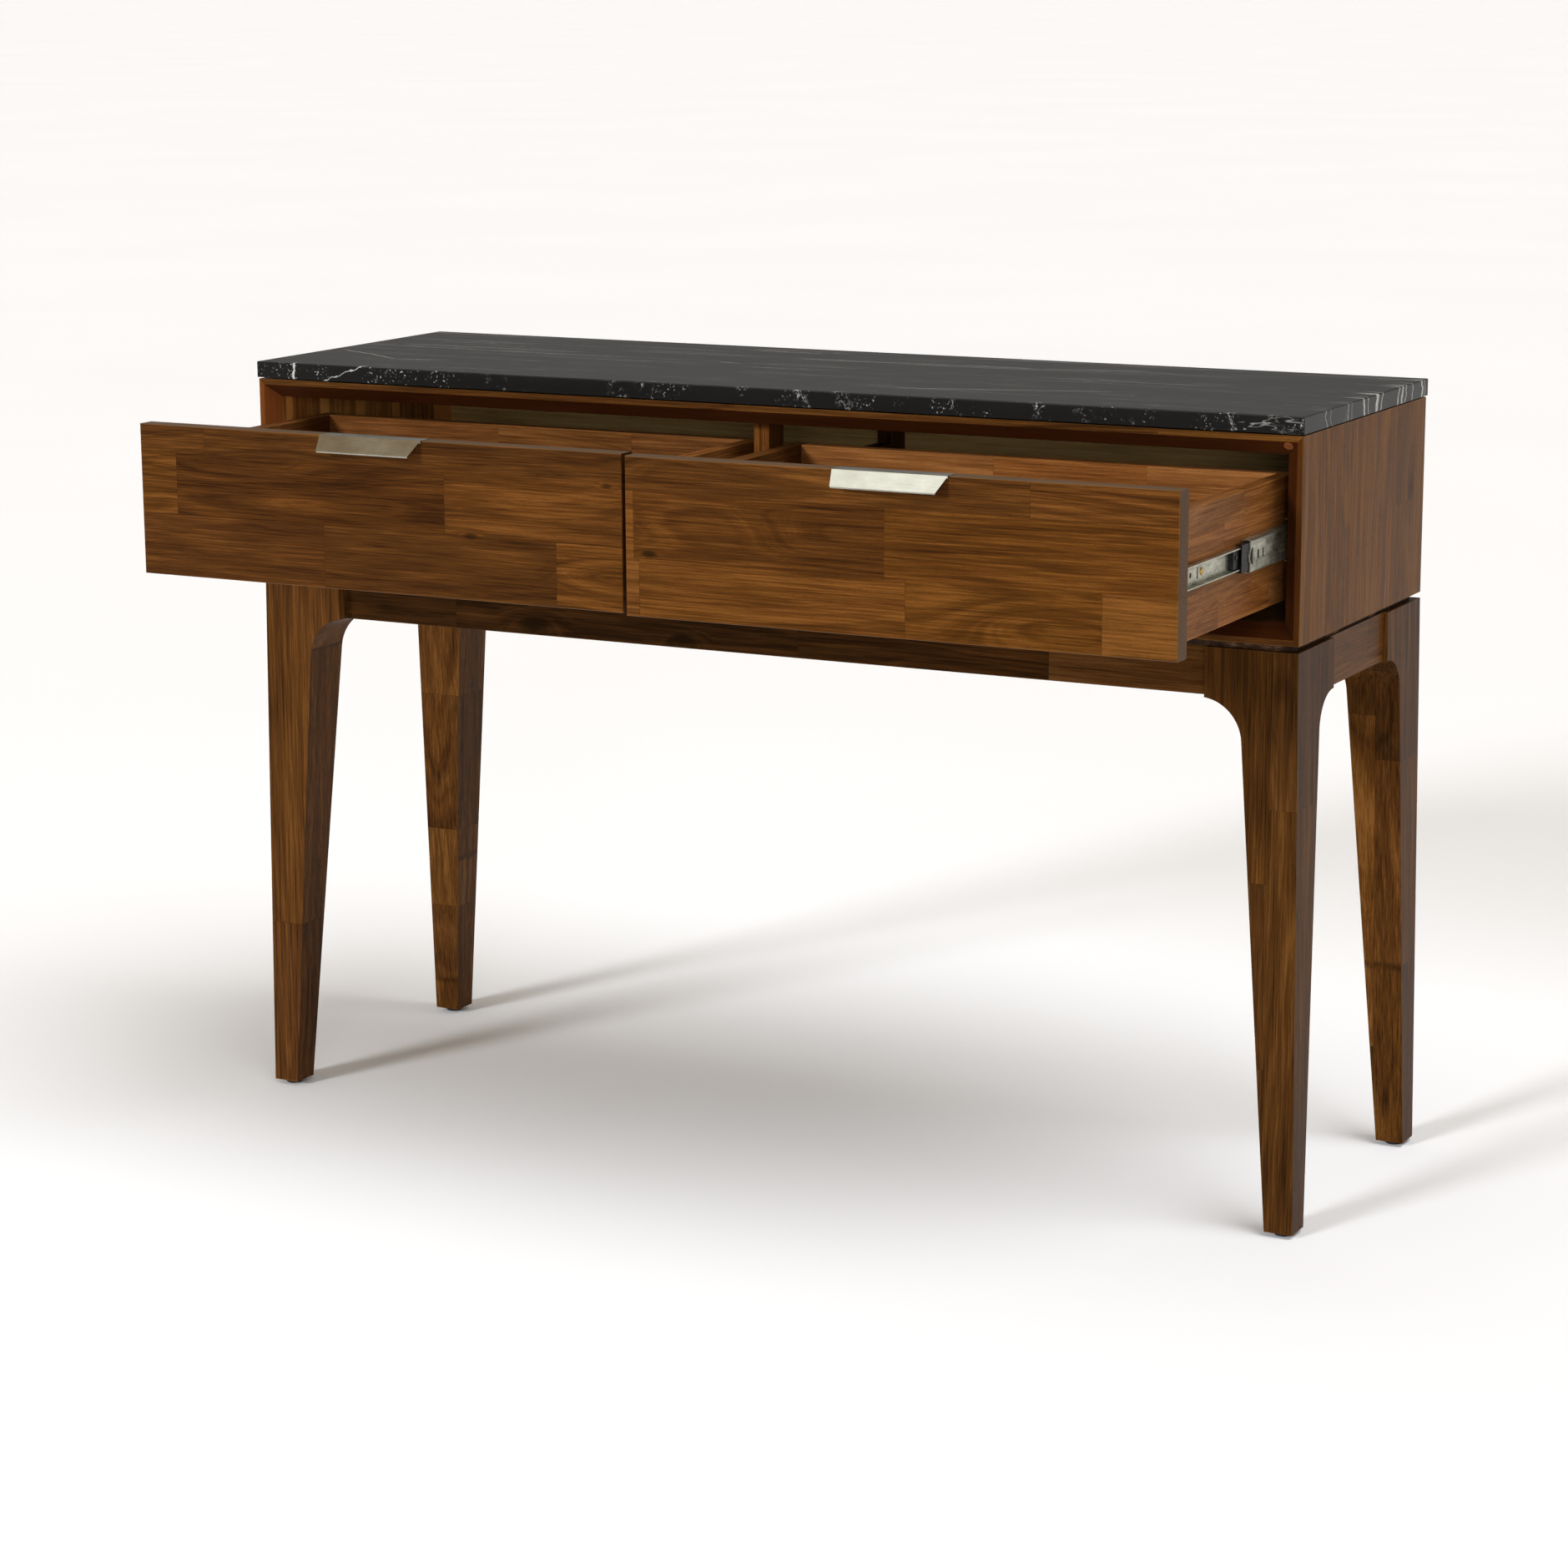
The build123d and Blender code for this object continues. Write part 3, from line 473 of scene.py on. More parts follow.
def stained_wood(
    node, grain, rise, rows, deep_rows, tones, seed, pale=(), lift=1.0, inner_lift=None,
    tone_reach=0.22, bevel=None, front_edge=None, rim=None, knots=(),
):
    """Lacquered wood glued from blocks, with the grain along one axis and the rows along another.

    deep_rows splits the wood along the third axis too. lift brightens the wood, and inner_lift does
    so on the inner face, where pale lists lighter bands across the rows. tone_reach is how far the
    blocks differ. bevel, front_edge, rim and knots are as Wood describes them.
    """
    wood = Wood(node, grain, rise)
    number, set_tone, gaps = block_cells(wood.across, wood.along, rows)
    if deep_rows:
        deep_number, _, deep_gaps = block_cells(wood.inward, wood.along, deep_rows)
        number = deep_number * DEEP_BLOCK_STEP + number
        gaps += deep_gaps
    tone, hue, shift = wood.chances(number + seed)
    if set_tone is not None:
        tone = set_tone
    drift = shift * 9.0 + hue * 4.0

    rings, knot_marks = wood.growth_rings(drift, hue, shift, knots)
    streaks = wood.drawn_out(STREAK_STRETCH, STREAK_SCALE, 3.0, 0.55, drift)
    fibres = wood.drawn_out(FIBRE_STRETCH, FIBRE_SCALE, 3.0, 0.70, drift)
    pores = wood.drawn_out(PORE_STRETCH, PORE_SCALE, 1.0).ease(0.60, 0.68)
    clouds = wood.drawn_out(CLOUD_STRETCH, CLOUD_SCALE)
    inside = wood.inner_face()

    value = (rings - 0.5) * 1.05 + (fibres - 0.5) * 1.35 + (streaks - 0.5) * 0.25
    value = value + (tone - 0.5) * tone_reach + (clouds - 0.5) * 0.30 + 0.5
    for band_low, band_high in pale:
        band = wood.across.over(band_low) - wood.across.over(band_high)
        value = value + inside * band * 0.95
    colour = wood.ramp(value, (0.08, tones["dark"]), (0.50, tones["middle"]), (0.92, tones["light"]))
    brightness = inside * (inner_lift - lift) + lift if inner_lift else lift
    colour = wood.vary(
        colour, hue.ease(0.0, 1.0, 0.4985, 0.5015), shift.ease(0.0, 1.0, 0.985, 1.005), brightness)
    colour = wood.mix(pores * 0.30, colour, tones["dark"])
    if knot_marks:
        colour = wood.mix(strongest(knot_marks), colour, KNOT_COLOUR)
    colour = wood.paint_edges(colour, bevel, front_edge, rim)
    if gaps:
        line = nearest(gaps).ease(0.0, SEAM_HALF_WIDTH).sink() * streaks.ease(0.35, 0.6, 0.15, 0.75)
        colour = wood.mix(line, colour, tones["dark"])
    end_grain = wood.facing(grain).ease(0.7, 0.95)
    colour = wood.mix(end_grain * 0.45, colour, tones["dark"])
    worn = wood.edge_distance(node).ease(0.0, EDGE_WEAR).sink() * clouds.ease(0.42, 0.58, 0.1, 0.6)
    colour = wood.mix(worn, colour, tones["light"])

    roughness = (fibres * 0.16 + clouds * 0.12) + (pores * 0.12 + 0.26)
    height = (fibres * 0.6 + streaks * 0.25) - pores * 0.5
    return wood.close(
        colour, roughness, height, depth=0.25 * MM, strength=0.55,
        Specular_IOR_Level=FINISH_GLOSS, Specular_Tint=FINISH_TINT)


def board(node, grain, rise, tones, seed, rows=None, width=None, length=None, thin=None, **look):
    """Dresses one wooden CAD node.

    Rows are given as shares of the board, or drawn by chance with blocks of about the given width
    and length. thin is the thickness of layers where the wood is glued up through its thickness.
    """
    low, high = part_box(node)
    across, along = "xyz".index(rise), "xyz".index(grain)
    third = 3 - across - along
    draw = random.Random(seed)
    span = (low[across], high[across], low[along], high[along])
    placed = rows_by_share(*span, rows) if rows else rows_by_chance(*span, width, length, draw)
    deep_rows = None
    if thin:
        deep_rows = rows_by_chance(
            low[third], high[third], low[along], high[along], thin, ENDLESS, draw)
    dress(node, stained_wood(node, grain, rise, placed, deep_rows, tones, float(seed), **look))


# ---------------------------------------------------------------- boards and legs
# Rows of blocks, from the bottom or the left: (lower edge, [joints along the row], [tone of each
# block]), with the places as shares of the board.
LEFT_FRONT_ROWS = [
    (0.0, [0.393, 0.869], [0.27, 0.24, 0.66]),
    (0.413, [0.078, 0.645], [0.50, 0.30, 0.62]),
    (0.819, [0.140], [0.45, 0.38]),
]
RIGHT_FRONT_ROWS = [
    (0.0, [0.026, 0.523, 0.870], [0.78, 0.60, 0.56, 0.74]),
    (0.368, [0.016, 0.485], [0.80, 0.40, 0.64]),
    (0.784, [0.744], [0.46, 0.50]),
]
# The front apron's two dark middle blocks are painted shadow, cast by the open drawers; its joints and
# lighter end blocks are the wood's own.
APRON_ROWS_WITH_PAINTED_SHADOW = [(0.0, [0.14, 0.551, 0.83], [0.26, 0.04, 0.04, 0.78])]
LEG_ROWS = {
    "front_left": [(0.0, [0.316], [0.20, 0.45]), (0.627, [], [0.62])],
    "front_right": [
        (0.0, [], [0.35]), (0.325, [0.284, 0.605], [0.10, 0.42, 0.25]), (0.67, [0.733], [0.42, 0.22])],
    "back_left": [
        (0.0, [0.224, 0.388, 0.67], [0.4, 0.6, 0.3, 0.5]), (0.416, [0.388, 0.67], [0.5, 0.25, 0.4]),
        (0.655, [], [0.4])],
    "back_right": [
        (0.0, [0.72], [0.2, 0.3]), (0.35, [0.18, 0.80], [0.3, 0.68, 0.25]),
        (0.68, [0.34, 0.72], [0.2, 0.35, 0.15])],
}
DRAWER_BACK_ROWS = [
    (0.0, [0.30, 0.585, 0.90], [0.5, 0.65, 0.35, 0.5]), (0.55, [0.42, 0.74], [0.45, 0.35, 0.6])]
DRAWER_SIDE_ROWS = [
    (0.0, [0.34, 0.78], [0.45, 0.5, 0.6]), (0.22, [0.62, 0.94], [0.45, 0.72, 0.5]),
    (0.42, [0.38, 0.93], [0.5, 0.7, 0.6]), (0.80, [0.55], [0.5, 0.4])]
LEG_LIFTS = {"front_left": 0.97, "front_right": 0.73, "back_left": 0.92, "back_right": 0.90}
APRON_KNOTS = [(-0.265, 0.552, 0.010, 0.45, 0.85), (-0.085, 0.549, 0.007, 0.45, 0.85)]    # in metres
FRONT_KNOTS = {     # with the places as shares of the front
    "left": [
        (0.287, 0.73, 0.013, 0.14, 0.0), (0.698, 0.415, 0.004, 0.40, 0.7),
        (0.970, 0.79, 0.003, 0.40, 0.7), (0.990, 0.22, 0.016, 0.40, 0.0)],
    "right": [
        (0.045, 0.40, 0.004, 0.40, 0.8), (0.168, 0.59, 0.013, 0.22, 0.0),
        (0.784, 0.15, 0.012, 0.20, 0.0)],
}
LEFT_WALL_PALE_BANDS = [       # from y to y
    (-0.025, -0.013), (0.040, 0.058), (0.111, 0.129), (0.184, 0.200), (0.271, 0.309),
]


def dress_drawer_fronts():
    for side, seed, rows in (("left", 11, LEFT_FRONT_ROWS), ("right", 12, RIGHT_FRONT_ROWS)):
        low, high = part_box(f"{side}_drawer_front")
        size = high - low
        knots = [(low.x + u * size.x, low.z + v * size.z, *rest) for u, v, *rest in FRONT_KNOTS[side]]
        # The grey-tan colour on the fronts' top faces and right end is a painted sheen, the lacquer's
        # reflection at a grazing view.
        board(
            f"{side}_drawer_front", "x", "z", FRONT, seed, rows, tone_reach=0.62,
            rim=display(96, 78, 58), knots=knots)


def dress_cabinet():
    # Painted shade on the bevels of the opening in the top, bottom and right side, where the drawers and
    # the case shade it.
    bevel_in_painted_shade = display(48, 19, 7)
    board("cabinet_top", "x", "y", STAINED, 21, width=0.062, length=0.42, bevel=bevel_in_painted_shade)
    # The bottom is also darkened all over, painted shade under the drawers.
    board(
        "cabinet_bottom", "x", "y", STAINED, 22, width=0.058, length=0.40, lift=0.8, bevel=bevel_in_painted_shade)
    # Painted light on the left side: its bevel and front edge are lighter where the key light falls on the
    # left stile, and its inner face is five times lighter, painted light against the shade inside the
    # cabinet. The pale bands are lighter staves.
    board(
        "cabinet_left_side", "z", "y", STAINED, 23, width=0.040, length=0.50, lift=1.1,
        pale=LEFT_WALL_PALE_BANDS, inner_lift=5.0, bevel=display(92, 47, 20),
        front_edge=display(99, 54, 21))
    # The right side's front edge is painted shade as well.
    board(
        "cabinet_right_side", "z", "y", OUTSIDE, 24, width=0.040, length=0.50, lift=1.1,
        bevel=bevel_in_painted_shade, front_edge=display(60, 31, 12))
    # The front post is painted 1.7 times lighter, painted light standing in for light that barely reaches
    # it between the drawers.
    board("centre_front_post", "z", "x", FRONT, 25, width=0.09, length=0.60, lift=1.7)
    board("centre_rear_post", "z", "x", STAINED, 26, width=0.09, length=0.60)
    board("centre_slide_rail", "y", "z", STAINED, 27, width=0.03, length=0.40)


def dress_base():
    # The front apron is darkened all over, painted shadow of the open drawers above it; the knots are the
    # wood's own.
    board(
        "apron_front", "x", "z", STAINED, 31, APRON_ROWS_WITH_PAINTED_SHADOW, lift=0.72, tone_reach=0.5,
        knots=APRON_KNOTS)
    board("apron_back", "x", "z", STAINED, 32, width=0.09, length=0.38)
    board("apron_left", "y", "z", STAINED, 33, width=0.09, length=0.20)
    board("apron_right", "y", "z", STAINED, 34, width=0.09, length=0.20)
    for seed, (corner, rows) in enumerate(LEG_ROWS.items(), 41):
        board(
            f"leg_{corner}", "z", "x", STAINED, seed, rows, thin=0.033, lift=LEG_LIFTS[corner],
            tone_reach=0.48)
    board("corner_braces", "x", "z", RAW, 46, width=0.05, length=0.9)


def dress_drawer_boxes():
    for side, seed, back_lift in (("left", 51, 0.9), ("right", 61, 1.5)):
        board(f"{side}_drawer_inner_front", "x", "z", BOX, seed, width=0.06, length=0.28)
        board(
            f"{side}_drawer_back", "x", "z", BOX, seed + 1, DRAWER_BACK_ROWS, lift=back_lift,
            tone_reach=0.4)
        # The drawers' left sides are darkened: painted shade on their inner faces, which face away from the
        # light, and darker wood as well.
        board(
            f"{side}_drawer_left_side", "y", "z", BOX, seed + 2, width=0.045, length=0.13, lift=0.6)
        board(f"{side}_drawer_right_side", "y", "z", BOX, seed + 3, DRAWER_SIDE_ROWS, tone_reach=0.4)
        board(f"{side}_drawer_floor", "x", "y", BOX, seed + 4, width=0.30, length=2.0)


# ---------------------------------------------------------------- back panel and plywood
# Brings the outside of the back panel down from the painted light of its pale colours to the wood's own
# darker colour.
OUTSIDE_WITHOUT_PAINTED_LIGHT = (0.10, 0.085, 0.06, 1.0)
PLY_RATE = 4200.0       # radians to a metre of thickness: a light and a dark ply in 1.5 mm


def back_panel(node):
    """Olive-brown veneer with fine level grain. Its pale colours are painted light for the inner face,
    which lies in shade inside the cabinet; the outside is multiplied back down to the wood's own darker
    colour.
    """
    paint = Paint("back_panel_veneer")
    low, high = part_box(node)
    outside = paint.y.over((low.y + high.y) / 2)
    fibres = paint.noise(paint.point(paint.x * 0.03, paint.y, paint.z), 420.0, 4.0, 0.6)
    bands = paint.noise(paint.point(paint.x * 0.05, paint.y, paint.z), 55.0, 3.0, 0.5)
    clouds = paint.noise(paint.place, 6.0, 2.0)
    value = (fibres - 0.5) * 0.9 + (bands - 0.5) * 0.7 + (clouds - 0.5) * 0.3 + 0.5
    # Pale colours: painted light on the shaded inner face.
    colour = paint.ramp(
        value, (0.15, display(148, 116, 62)), (0.5, display(206, 168, 100)), (0.9, display(236, 204, 138)))
    colour = paint.mix(outside * 0.9, colour, OUTSIDE_WITHOUT_PAINTED_LIGHT, "MULTIPLY")
    roughness = fibres * 0.2 + 0.42
    return paint.close(colour, roughness, fibres, depth=0.15 * MM, strength=0.4)


def plywood():
    """Raw plywood: plies of lighter and darker wood seen on the edge, blotched and rough."""
    paint = Paint("plywood_edge")
    ply = (paint.z * PLY_RATE).wave()
    blotches = paint.noise(paint.point(paint.x * 0.5, paint.y * 0.5, paint.z), 70.0, 4.0, 0.6)
    fibres = paint.noise(paint.point(paint.x * 0.1, paint.y * 0.1, paint.z), 700.0, 3.0, 0.6)
    value = ply * 0.25 + (blotches - 0.5) * 1.3 + fibres * 0.5
    colour = paint.ramp(
        value, (0.15, display(24, 15, 10)), (0.5, display(62, 42, 27)), (0.85, display(190, 152, 112)))
    return paint.close(
        colour, fibres * 0.2 + 0.6, fibres + ply * 0.5, depth=0.3 * MM, strength=0.6,
        Specular_IOR_Level=0.08)


# ---------------------------------------------------------------- marble
SHEETS = [          # (y, width, strength) of the near-vertical sheets of calcite, which run along X
    (0.010, 0.0007, 0.55), (0.024, 0.0006, 0.35), (0.073, 0.0008, 0.60), (0.084, 0.0005, 0.35),
    (0.124, 0.0034, 0.90), (0.136, 0.0008, 0.60), (0.158, 0.0050, 0.95), (0.172, 0.0012, 0.80),
    (0.222, 0.0022, 0.80), (0.234, 0.0030, 0.85), (0.243, 0.0010, 0.70), (0.264, 0.0010, 0.65),
    (0.298, 0.0040, 0.85), (0.307, 0.0010, 0.60),
]
FRONT_MARKS = [     # (x, reach, strength) of the white marks on the front edge
    (-0.554, 0.006, 1.0), (-0.291, 0.030, 0.5), (-0.149, 0.020, 0.75), (-0.108, 0.022, 0.95),
    (0.006, 0.012, 0.95), (0.070, 0.011, 1.0), (0.118, 0.017, 1.0), (0.237, 0.012, 0.85),
    (0.332, 0.018, 0.9), (0.376, 0.022, 0.6), (0.504, 0.008, 1.0), (0.536, 0.010, 1.0),
    (0.585, 0.022, 0.6),
]
TOP_VEINS = [       # (x, y) of both ends of the long faint veins on the top
    ((-0.559, 0.182), (-0.327, 0.187)), ((-0.590, 0.099), (-0.478, 0.036)),
    ((-0.478, 0.036), (-0.420, 0.046)), ((-0.168, 0.281), (-0.076, 0.279)),
    ((-0.143, 0.158), (-0.110, 0.148)), ((-0.079, 0.223), (0.206, 0.233)),
    ((0.206, 0.233), (0.319, 0.258)), ((0.145, 0.008), (0.357, 0.070)),
]
SHEET_SPREAD = (0.46, 0.602)        # x between which the sheets grow to their whole width
SHEET_END = (0.575, 0.600)          # x between which they turn white
TOP_VEIN_STRENGTH = 0.30
SLANTING_VEIN = (-0.5135, 2.9)      # x at the bottom of the front edge, and how far it leans
UPRIGHT_VEIN = -0.554               # x of the vein straight up the front edge
FRONT_DEPTH = 0.012                 # how far back from the front edge its marks reach


def calcite_sheets(x, bent, breaks):
    """Thin pale sheets along X: faint, broken lines on the top, and white where they end."""
    spread = x.ease(*SHEET_SPREAD)
    lines = []
    for place, width, strength in SHEETS:
        reach = spread * (width * 0.8) + (width * 0.2 + 0.0004)
        lines.append((bent.near(place) - reach * 0.5).ease(0.0, 0.0008).sink() * strength)
    on_top = breaks.ease(0.44, 0.60) * TOP_VEIN_STRENGTH
    return strongest(lines) * on_top.most(x.ease(*SHEET_END, 0.0, 0.65))


def shredded_marks(paint, lean):
    """Clusters of short white threads at the front marks."""
    threads = paint.noise(
        paint.point(paint.x, paint.y * 0.6, paint.z * 0.8), 120.0, 3.0, 0.60, 1.4)
    patches = paint.noise(paint.place, 60.0, 3.0, 0.6).ease(0.44, 0.60)
    spots = []
    for place, reach, strength in FRONT_MARKS:
        spots.append(lean.near(place).ease(reach * 0.1, reach * 0.8).sink() * strength)
    return strongest(spots) * threads.near(0.52).ease(0.0, 0.026).sink() * patches * 0.85


def straight_vein(x, y, start, end, sway):
    """1 along the line between two points of the top, fading out at both ends."""
    run_x, run_y = end[0] - start[0], end[1] - start[1]
    length = math.hypot(run_x, run_y)
    ahead_x, ahead_y = run_x / length, run_y / length
    from_x, from_y = x - start[0], y - start[1]
    along = from_x * ahead_x + from_y * ahead_y
    aside = abs(from_y * ahead_x - from_x * ahead_y + sway)
    ends = along.ease(-0.01, 0.02) * along.ease(length - 0.02, length + 0.01).sink()
    return aside.ease(0.0006, 0.0022).sink() * ends


def marble(node):
    """Black marble: thin pale sheets along X, white marks and flecks near the front edge."""
    paint = Paint("black_marble")
    x, y, z = paint.x, paint.y, paint.z
    low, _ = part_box(node)
    wobble = paint.noise(paint.point(x * 1.2, y * 3.0, z * 10.0), 2.2, 3.0, 0.55)
    ripple = paint.noise(paint.point(x * 3.0, y, z * 4.0), 26.0, 3.0, 0.6)
    breaks = paint.noise(paint.point(x * 4.0, y * 26.0, z * 14.0), 1.3, 4.0, 0.62)
    sheets = calcite_sheets(x, y + (wobble - 0.5) * 0.055 + (ripple - 0.5) * 0.007, breaks)

    hair = paint.noise(paint.point(x * 0.9, y * 16.0, z * 6.0), 2.4, 5.0, 0.6, 0.4)
    hairlines = hair.near(0.5).ease(0.0, 0.006).sink() * breaks.ease(0.50, 0.62) * TOP_VEIN_STRENGTH

    near_front = y.ease(low.y, low.y + FRONT_DEPTH, 1.0, 0.0)
    marks = shredded_marks(paint, x + z * 0.5 - low.z * 0.5)
    foot, leaning = SLANTING_VEIN
    slant = (x - foot) - (z - low.z) * leaning + (ripple - 0.5) * 0.03
    slanting = abs(slant).ease(0.0004, 0.0022).sink() * 0.75
    upright = (x + (ripple - 0.5) * 0.006).near(UPRIGHT_VEIN).ease(0.0006, 0.0018).sink() * 0.8
    fleck = paint.noise(paint.place, 420.0, 3.0, 0.6)
    fleck_fields = paint.noise(paint.place, 26.0, 2.0, 0.5).ease(0.48, 0.62)
    flecks = fleck.ease(0.62, 0.70) * fleck_fields * 0.60
    front = strongest([marks, slanting, upright, flecks]) * near_front

    sway = (ripple - 0.5) * 0.010 + (wobble - 0.5) * 0.016
    top_veins = [straight_vein(x, y, start, end, sway) for start, end in TOP_VEINS]
    white = strongest([sheets, hairlines, front, strongest(top_veins) * TOP_VEIN_STRENGTH])

    clouds = paint.noise(paint.point(x * 1.5, y * 4.0, z * 4.0), 7.0, 4.0, 0.6)
    # The stone's grey is lighter than the black stone itself, a painted reflection of the pale room that
    # the top shows at a grazing view; the front face below is taken back down to near black.
    stone = paint.ramp(
        clouds, (0.3, display(24, 24, 24)), (0.55, display(37, 37, 36)), (0.8, display(54, 54, 52)))
    front_face = paint.facing("y").ease(0.7, 0.95)
    stone = paint.mix(front_face * 0.95, stone, display(7, 5, 4))
    milk = paint.ramp(fleck, (0.3, display(150, 150, 146)), (0.7, display(226, 226, 220)))
    grit = paint.noise(paint.place, 900.0, 3.0, 0.6)
    return paint.close(
        paint.mix(white, stone, milk), clouds * 0.10 + grit * 0.10 + 0.27, grit * 0.5 + white * 0.3,
        depth=0.08 * MM, strength=0.35, Specular_IOR_Level=0.12)


# ---------------------------------------------------------------- metal, plastic and felt
def zinc_steel():
    """Bright zinc on pressed steel: soft spangle, rubbed lines along the slide and dull patches."""
    paint = Paint("zinc_plated_steel")
    x, y, z = paint.x, paint.y, paint.z
    rubbed = paint.noise(paint.point(x, y * 0.03, z), 900.0, 3.0, 0.6)
    patches = paint.noise(paint.point(x, y * 0.7, z), 75.0, 4.0, 0.65)
    spangle = paint.cells(paint.place, 260.0)
    smudges = paint.noise(paint.point(x, y * 0.35, z), 22.0, 3.0, 0.5)
    value = (patches - 0.5) * 0.9 + (rubbed - 0.5) * 0.6 + (smudges - 0.5) * 0.6 + spangle * 0.2 + 0.4
    colour = paint.ramp(
        value, (0.2, display(104, 104, 94)), (0.5, display(168, 168, 152)), (0.85, display(214, 213, 200)))
    roughness = patches * 0.25 + rubbed * 0.15 + 0.20
    height = rubbed * 0.6 + spangle * 0.25
    return paint.close(colour, roughness, height, depth=0.06 * MM, strength=0.5, Metallic=1.0)


def satin_metal():
    """Champagne-coloured satin metal, brushed along the pull, with faint cloudy wear."""
    paint = Paint("satin_champagne_metal")
    x, y, z = paint.x, paint.y, paint.z
    brushed = paint.noise(paint.point(x * 0.02, y, z), 1600.0, 3.0, 0.65)
    clouds = paint.noise(paint.place, 45.0, 4.0, 0.6)
    rubs = paint.noise(paint.point(x * 0.25, y, z * 2.0), 90.0, 3.0, 0.6)
    value = (brushed - 0.5) * 0.5 + (clouds - 0.5) * 0.8 + (rubs - 0.5) * 0.4 + 0.5
    colour = paint.ramp(
        value, (0.2, display(168, 164, 150)), (0.5, display(186, 184, 172)), (0.85, display(208, 208, 198)))
    roughness = brushed * 0.08 + clouds * 0.08 + 0.17
    return paint.close(
        colour, roughness, brushed, depth=0.03 * MM, strength=0.5, Metallic=1.0, Anisotropic=0.35)


def screw_metal(name, dark, light):
    """Plated screws, with the plating darker and lighter in cloudy patches."""
    paint = Paint(name)
    patches = paint.noise(paint.place, 420.0, 3.0, 0.6)
    grit = paint.noise(paint.place, 2400.0, 2.0, 0.5)
    colour = paint.ramp(patches, (0.3, dark), (0.7, light))
    return paint.close(
        colour, patches * 0.25 + 0.25, grit, depth=0.04 * MM, strength=0.4, Metallic=1.0)


def black_plastic(name, base, shine):
    """Moulded black plastic with a fine spark-eroded texture and slightly rubbed high spots."""
    paint = Paint(name)
    grain = paint.noise(paint.place, 2200.0, 3.0, 0.6)
    rubbed = paint.noise(paint.place, 60.0, 3.0, 0.55)
    colour = paint.mix(rubbed.ease(0.45, 0.7), display(*base), display(*(part + 16 for part in base)))
    return paint.close(
        colour, rubbed * 0.2 + grain * 0.1 + shine, grain, depth=0.05 * MM, strength=0.5,
        Specular_IOR_Level=0.2)


def clear_rubber():
    """Thin soft pads, smoky and slightly see-through."""
    paint = Paint("clear_rubber_pad")
    haze = paint.noise(paint.place, 300.0, 3.0, 0.6)
    colour = paint.mix(haze, display(150, 148, 142), display(196, 194, 188))
    return paint.close(
        colour, haze * 0.25 + 0.25, haze, depth=0.05 * MM, strength=0.3, Transmission_Weight=0.35)


def felt():
    """Brown pressed felt with loose fibres."""
    paint = Paint("brown_felt")
    fibres = paint.noise(paint.place, 1500.0, 5.0, 0.7, 1.2)
    lumps = paint.noise(paint.place, 260.0, 3.0, 0.6)
    colour = paint.ramp(
        fibres, (0.3, display(84, 40, 12)), (0.6, display(120, 64, 22)), (0.8, display(154, 92, 40)))
    return paint.close(
        colour, lumps * 0.1 + 0.85, fibres + lumps, depth=0.4 * MM, strength=0.8, Sheen_Weight=0.05,
        Specular_IOR_Level=0.1)


def dress_small_parts():
    dress("marble_top", marble("marble_top"))
    dress("marble_pads", clear_rubber())
    dress("cabinet_back_panel", back_panel("cabinet_back_panel"))
    dress("base_spacer", plywood())
    dress("felt_pad", felt())
    dress("floor_glides", black_plastic("glide_plastic", (20, 20, 21), 0.30))
    zinc = zinc_steel()
    slide_plastic = black_plastic("slide_plastic", (9, 9, 10), 0.26)
    pull = satin_metal()
    plain_screw = screw_metal("bright_zinc_screw", display(150, 150, 142), display(214, 213, 206))
    gold_screw = screw_metal("yellow_zinc_screw", display(156, 122, 62), display(214, 184, 118))
    for node in ("base_screws", "brace_bolts"):
        dress(node, plain_screw)
    dress("slide_cabinet_screws", gold_screw)
    for side in ("left", "right"):
        dress(f"{side}_drawer_handle", pull)
        dress(f"{side}_drawer_front_screws", plain_screw)
        dress(f"{side}_drawer_slide_screws", gold_screw)
        dress(f"{side}_slide_cabinet_members", zinc)
        dress(f"{side}_slide_release_levers", slide_plastic)
        for place in ("outer", "inner"):
            dress(f"{side}_slide_drawer_member_{place}", zinc)
            dress(f"{side}_slide_middle_member_{place}", zinc)
            dress(f"{side}_slide_ball_cage_{place}", slide_plastic)


# ---------------------------------------------------------------- floor, lights and camera
def make_floor():
    """A plain pale floor with faint unevenness."""
    paint = Paint("pale_floor")
    clouds = paint.noise(paint.place, 0.7, 3.0, 0.5)
    grain = paint.noise(paint.place, 300.0, 2.0, 0.5)
    colour = paint.mix(clouds, display(240, 243, 248), display(246, 249, 253))
    material = paint.close(colour, grain * 0.1 + 0.75, grain, depth=0.05 * MM, strength=0.1)
    half = FLOOR_SIZE / 2
    corners = [(-half, -half, 0.0), (half, -half, 0.0), (half, half, 0.0), (-half, half, 0.0)]
    mesh = bpy.data.meshes.new("studio_floor")
    mesh.from_pydata(corners, [], [(0, 1, 2, 3)])
    mesh.materials.append(material)
    floor = bpy.data.objects.new("studio_floor", mesh)
    bpy.context.scene.collection.objects.link(floor)


def make_sun(name, azimuth, height, strength, spread):
    """A wide soft light that comes from the given side, in degrees left of the front and up."""
    data = bpy.data.lights.new(name, "SUN")
    data.energy = strength
    data.angle = math.radians(spread)
    sun = bpy.data.objects.new(name, data)
    turn, rise = math.radians(azimuth), math.radians(height)
    towards = Vector((
        -math.sin(turn) * math.cos(rise),
        -math.cos(turn) * math.cos(rise),
        math.sin(rise),
    ))
    sun.rotation_mode = "QUATERNION"
    sun.rotation_quaternion = towards.to_track_quat("Z", "Y")
    sun.location = towards * 4.0
    bpy.context.scene.collection.objects.link(sun)


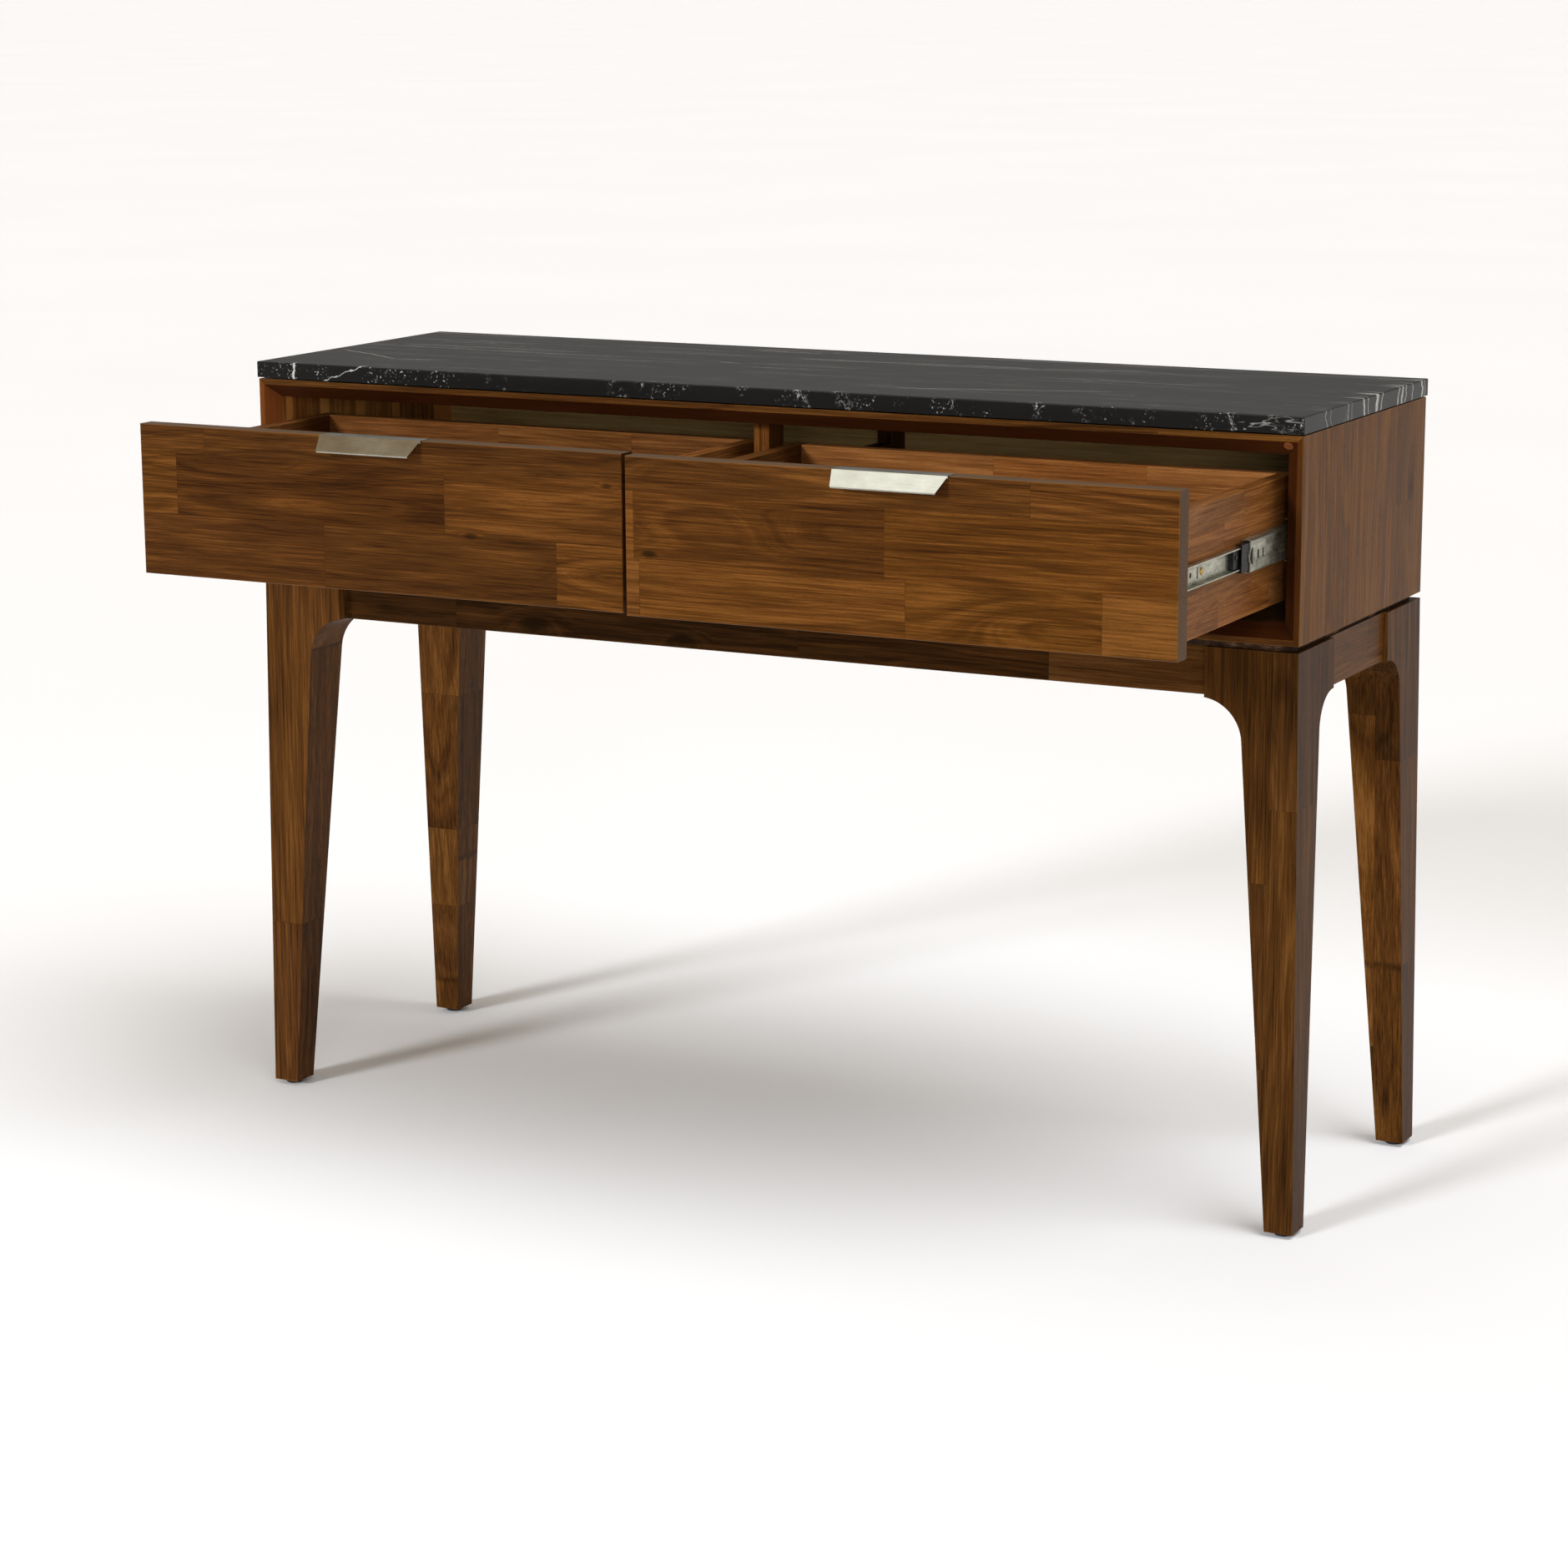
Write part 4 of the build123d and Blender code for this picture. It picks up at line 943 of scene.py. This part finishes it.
def make_panel():
    """A soft box overhead, seen only as light and in reflections."""
    data = bpy.data.lights.new("panel", "AREA")
    data.shape = "RECTANGLE"
    data.size = PANEL_WIDTH
    data.size_y = PANEL_DEPTH
    data.energy = PANEL_POWER
    data.color = PANEL_COLOUR
    panel = bpy.data.objects.new("panel", data)
    panel.location = PANEL_PLACE
    panel.visible_camera = False
    bpy.context.scene.collection.objects.link(panel)


def make_room():
    """A pale room all round, bright where it meets the floor and warmer overhead."""
    world = bpy.data.worlds.new("studio")
    world.use_nodes = True
    tree = world.node_tree
    background = tree.nodes["Background"]
    way = tree.nodes.new("ShaderNodeTexCoord")
    split = tree.nodes.new("ShaderNodeSeparateXYZ")
    tree.links.new(way.outputs["Generated"], split.inputs[0])
    height = Field(tree, split.outputs[2])
    overhead = height.ease(ABOVE_FROM, ABOVE_TO)
    low_down = height.ease(HORIZON_FROM, HORIZON_TO).sink()
    colour = ROOM_LEVEL
    for factor, other in ((overhead, ROOM_ABOVE), (low_down, ROOM_HORIZON)):
        mix = tree.nodes.new("ShaderNodeMix")
        mix.data_type = "RGBA"
        set_or_link(tree, mix.inputs[0], factor)
        set_or_link(tree, mix.inputs[6], colour)
        set_or_link(tree, mix.inputs[7], other)
        colour = Field(tree, mix.outputs[2])
    tree.links.new(colour.socket, background.inputs["Color"])
    background.inputs["Strength"].default_value = ROOM_LIGHT
    bpy.context.scene.world = world


def make_camera():
    data = bpy.data.cameras.new("camera")
    data.lens = LENS_MM
    data.sensor_width = SENSOR_MM
    data.sensor_fit = "HORIZONTAL"
    data.clip_end = VIEW_END
    camera = bpy.data.objects.new("camera", data)
    ahead = Vector((
        -math.sin(CAMERA_TURN) * math.cos(CAMERA_DROP),
        math.cos(CAMERA_TURN) * math.cos(CAMERA_DROP),
        -math.sin(CAMERA_DROP),
    ))
    level = Vector((math.cos(CAMERA_TURN), math.sin(CAMERA_TURN), 0.0))
    upward = level.cross(ahead)
    right = level * math.cos(CAMERA_ROLL) + upward * math.sin(CAMERA_ROLL)
    up = upward * math.cos(CAMERA_ROLL) - level * math.sin(CAMERA_ROLL)
    turn = Matrix((right, up, -ahead)).transposed()
    camera.matrix_world = Matrix.Translation(CAMERA_PLACE) @ turn.to_4x4()
    bpy.context.scene.collection.objects.link(camera)
    bpy.context.scene.camera = camera


make_camera()
make_room()
for light, (azimuth, height, strength, spread) in SUNS.items():
    make_sun(light, azimuth, height, strength, spread)
make_panel()
make_floor()
bpy.context.scene.view_settings.view_transform = "Standard"
dress_drawer_fronts()
dress_cabinet()
dress_base()
dress_drawer_boxes()
dress_small_parts()
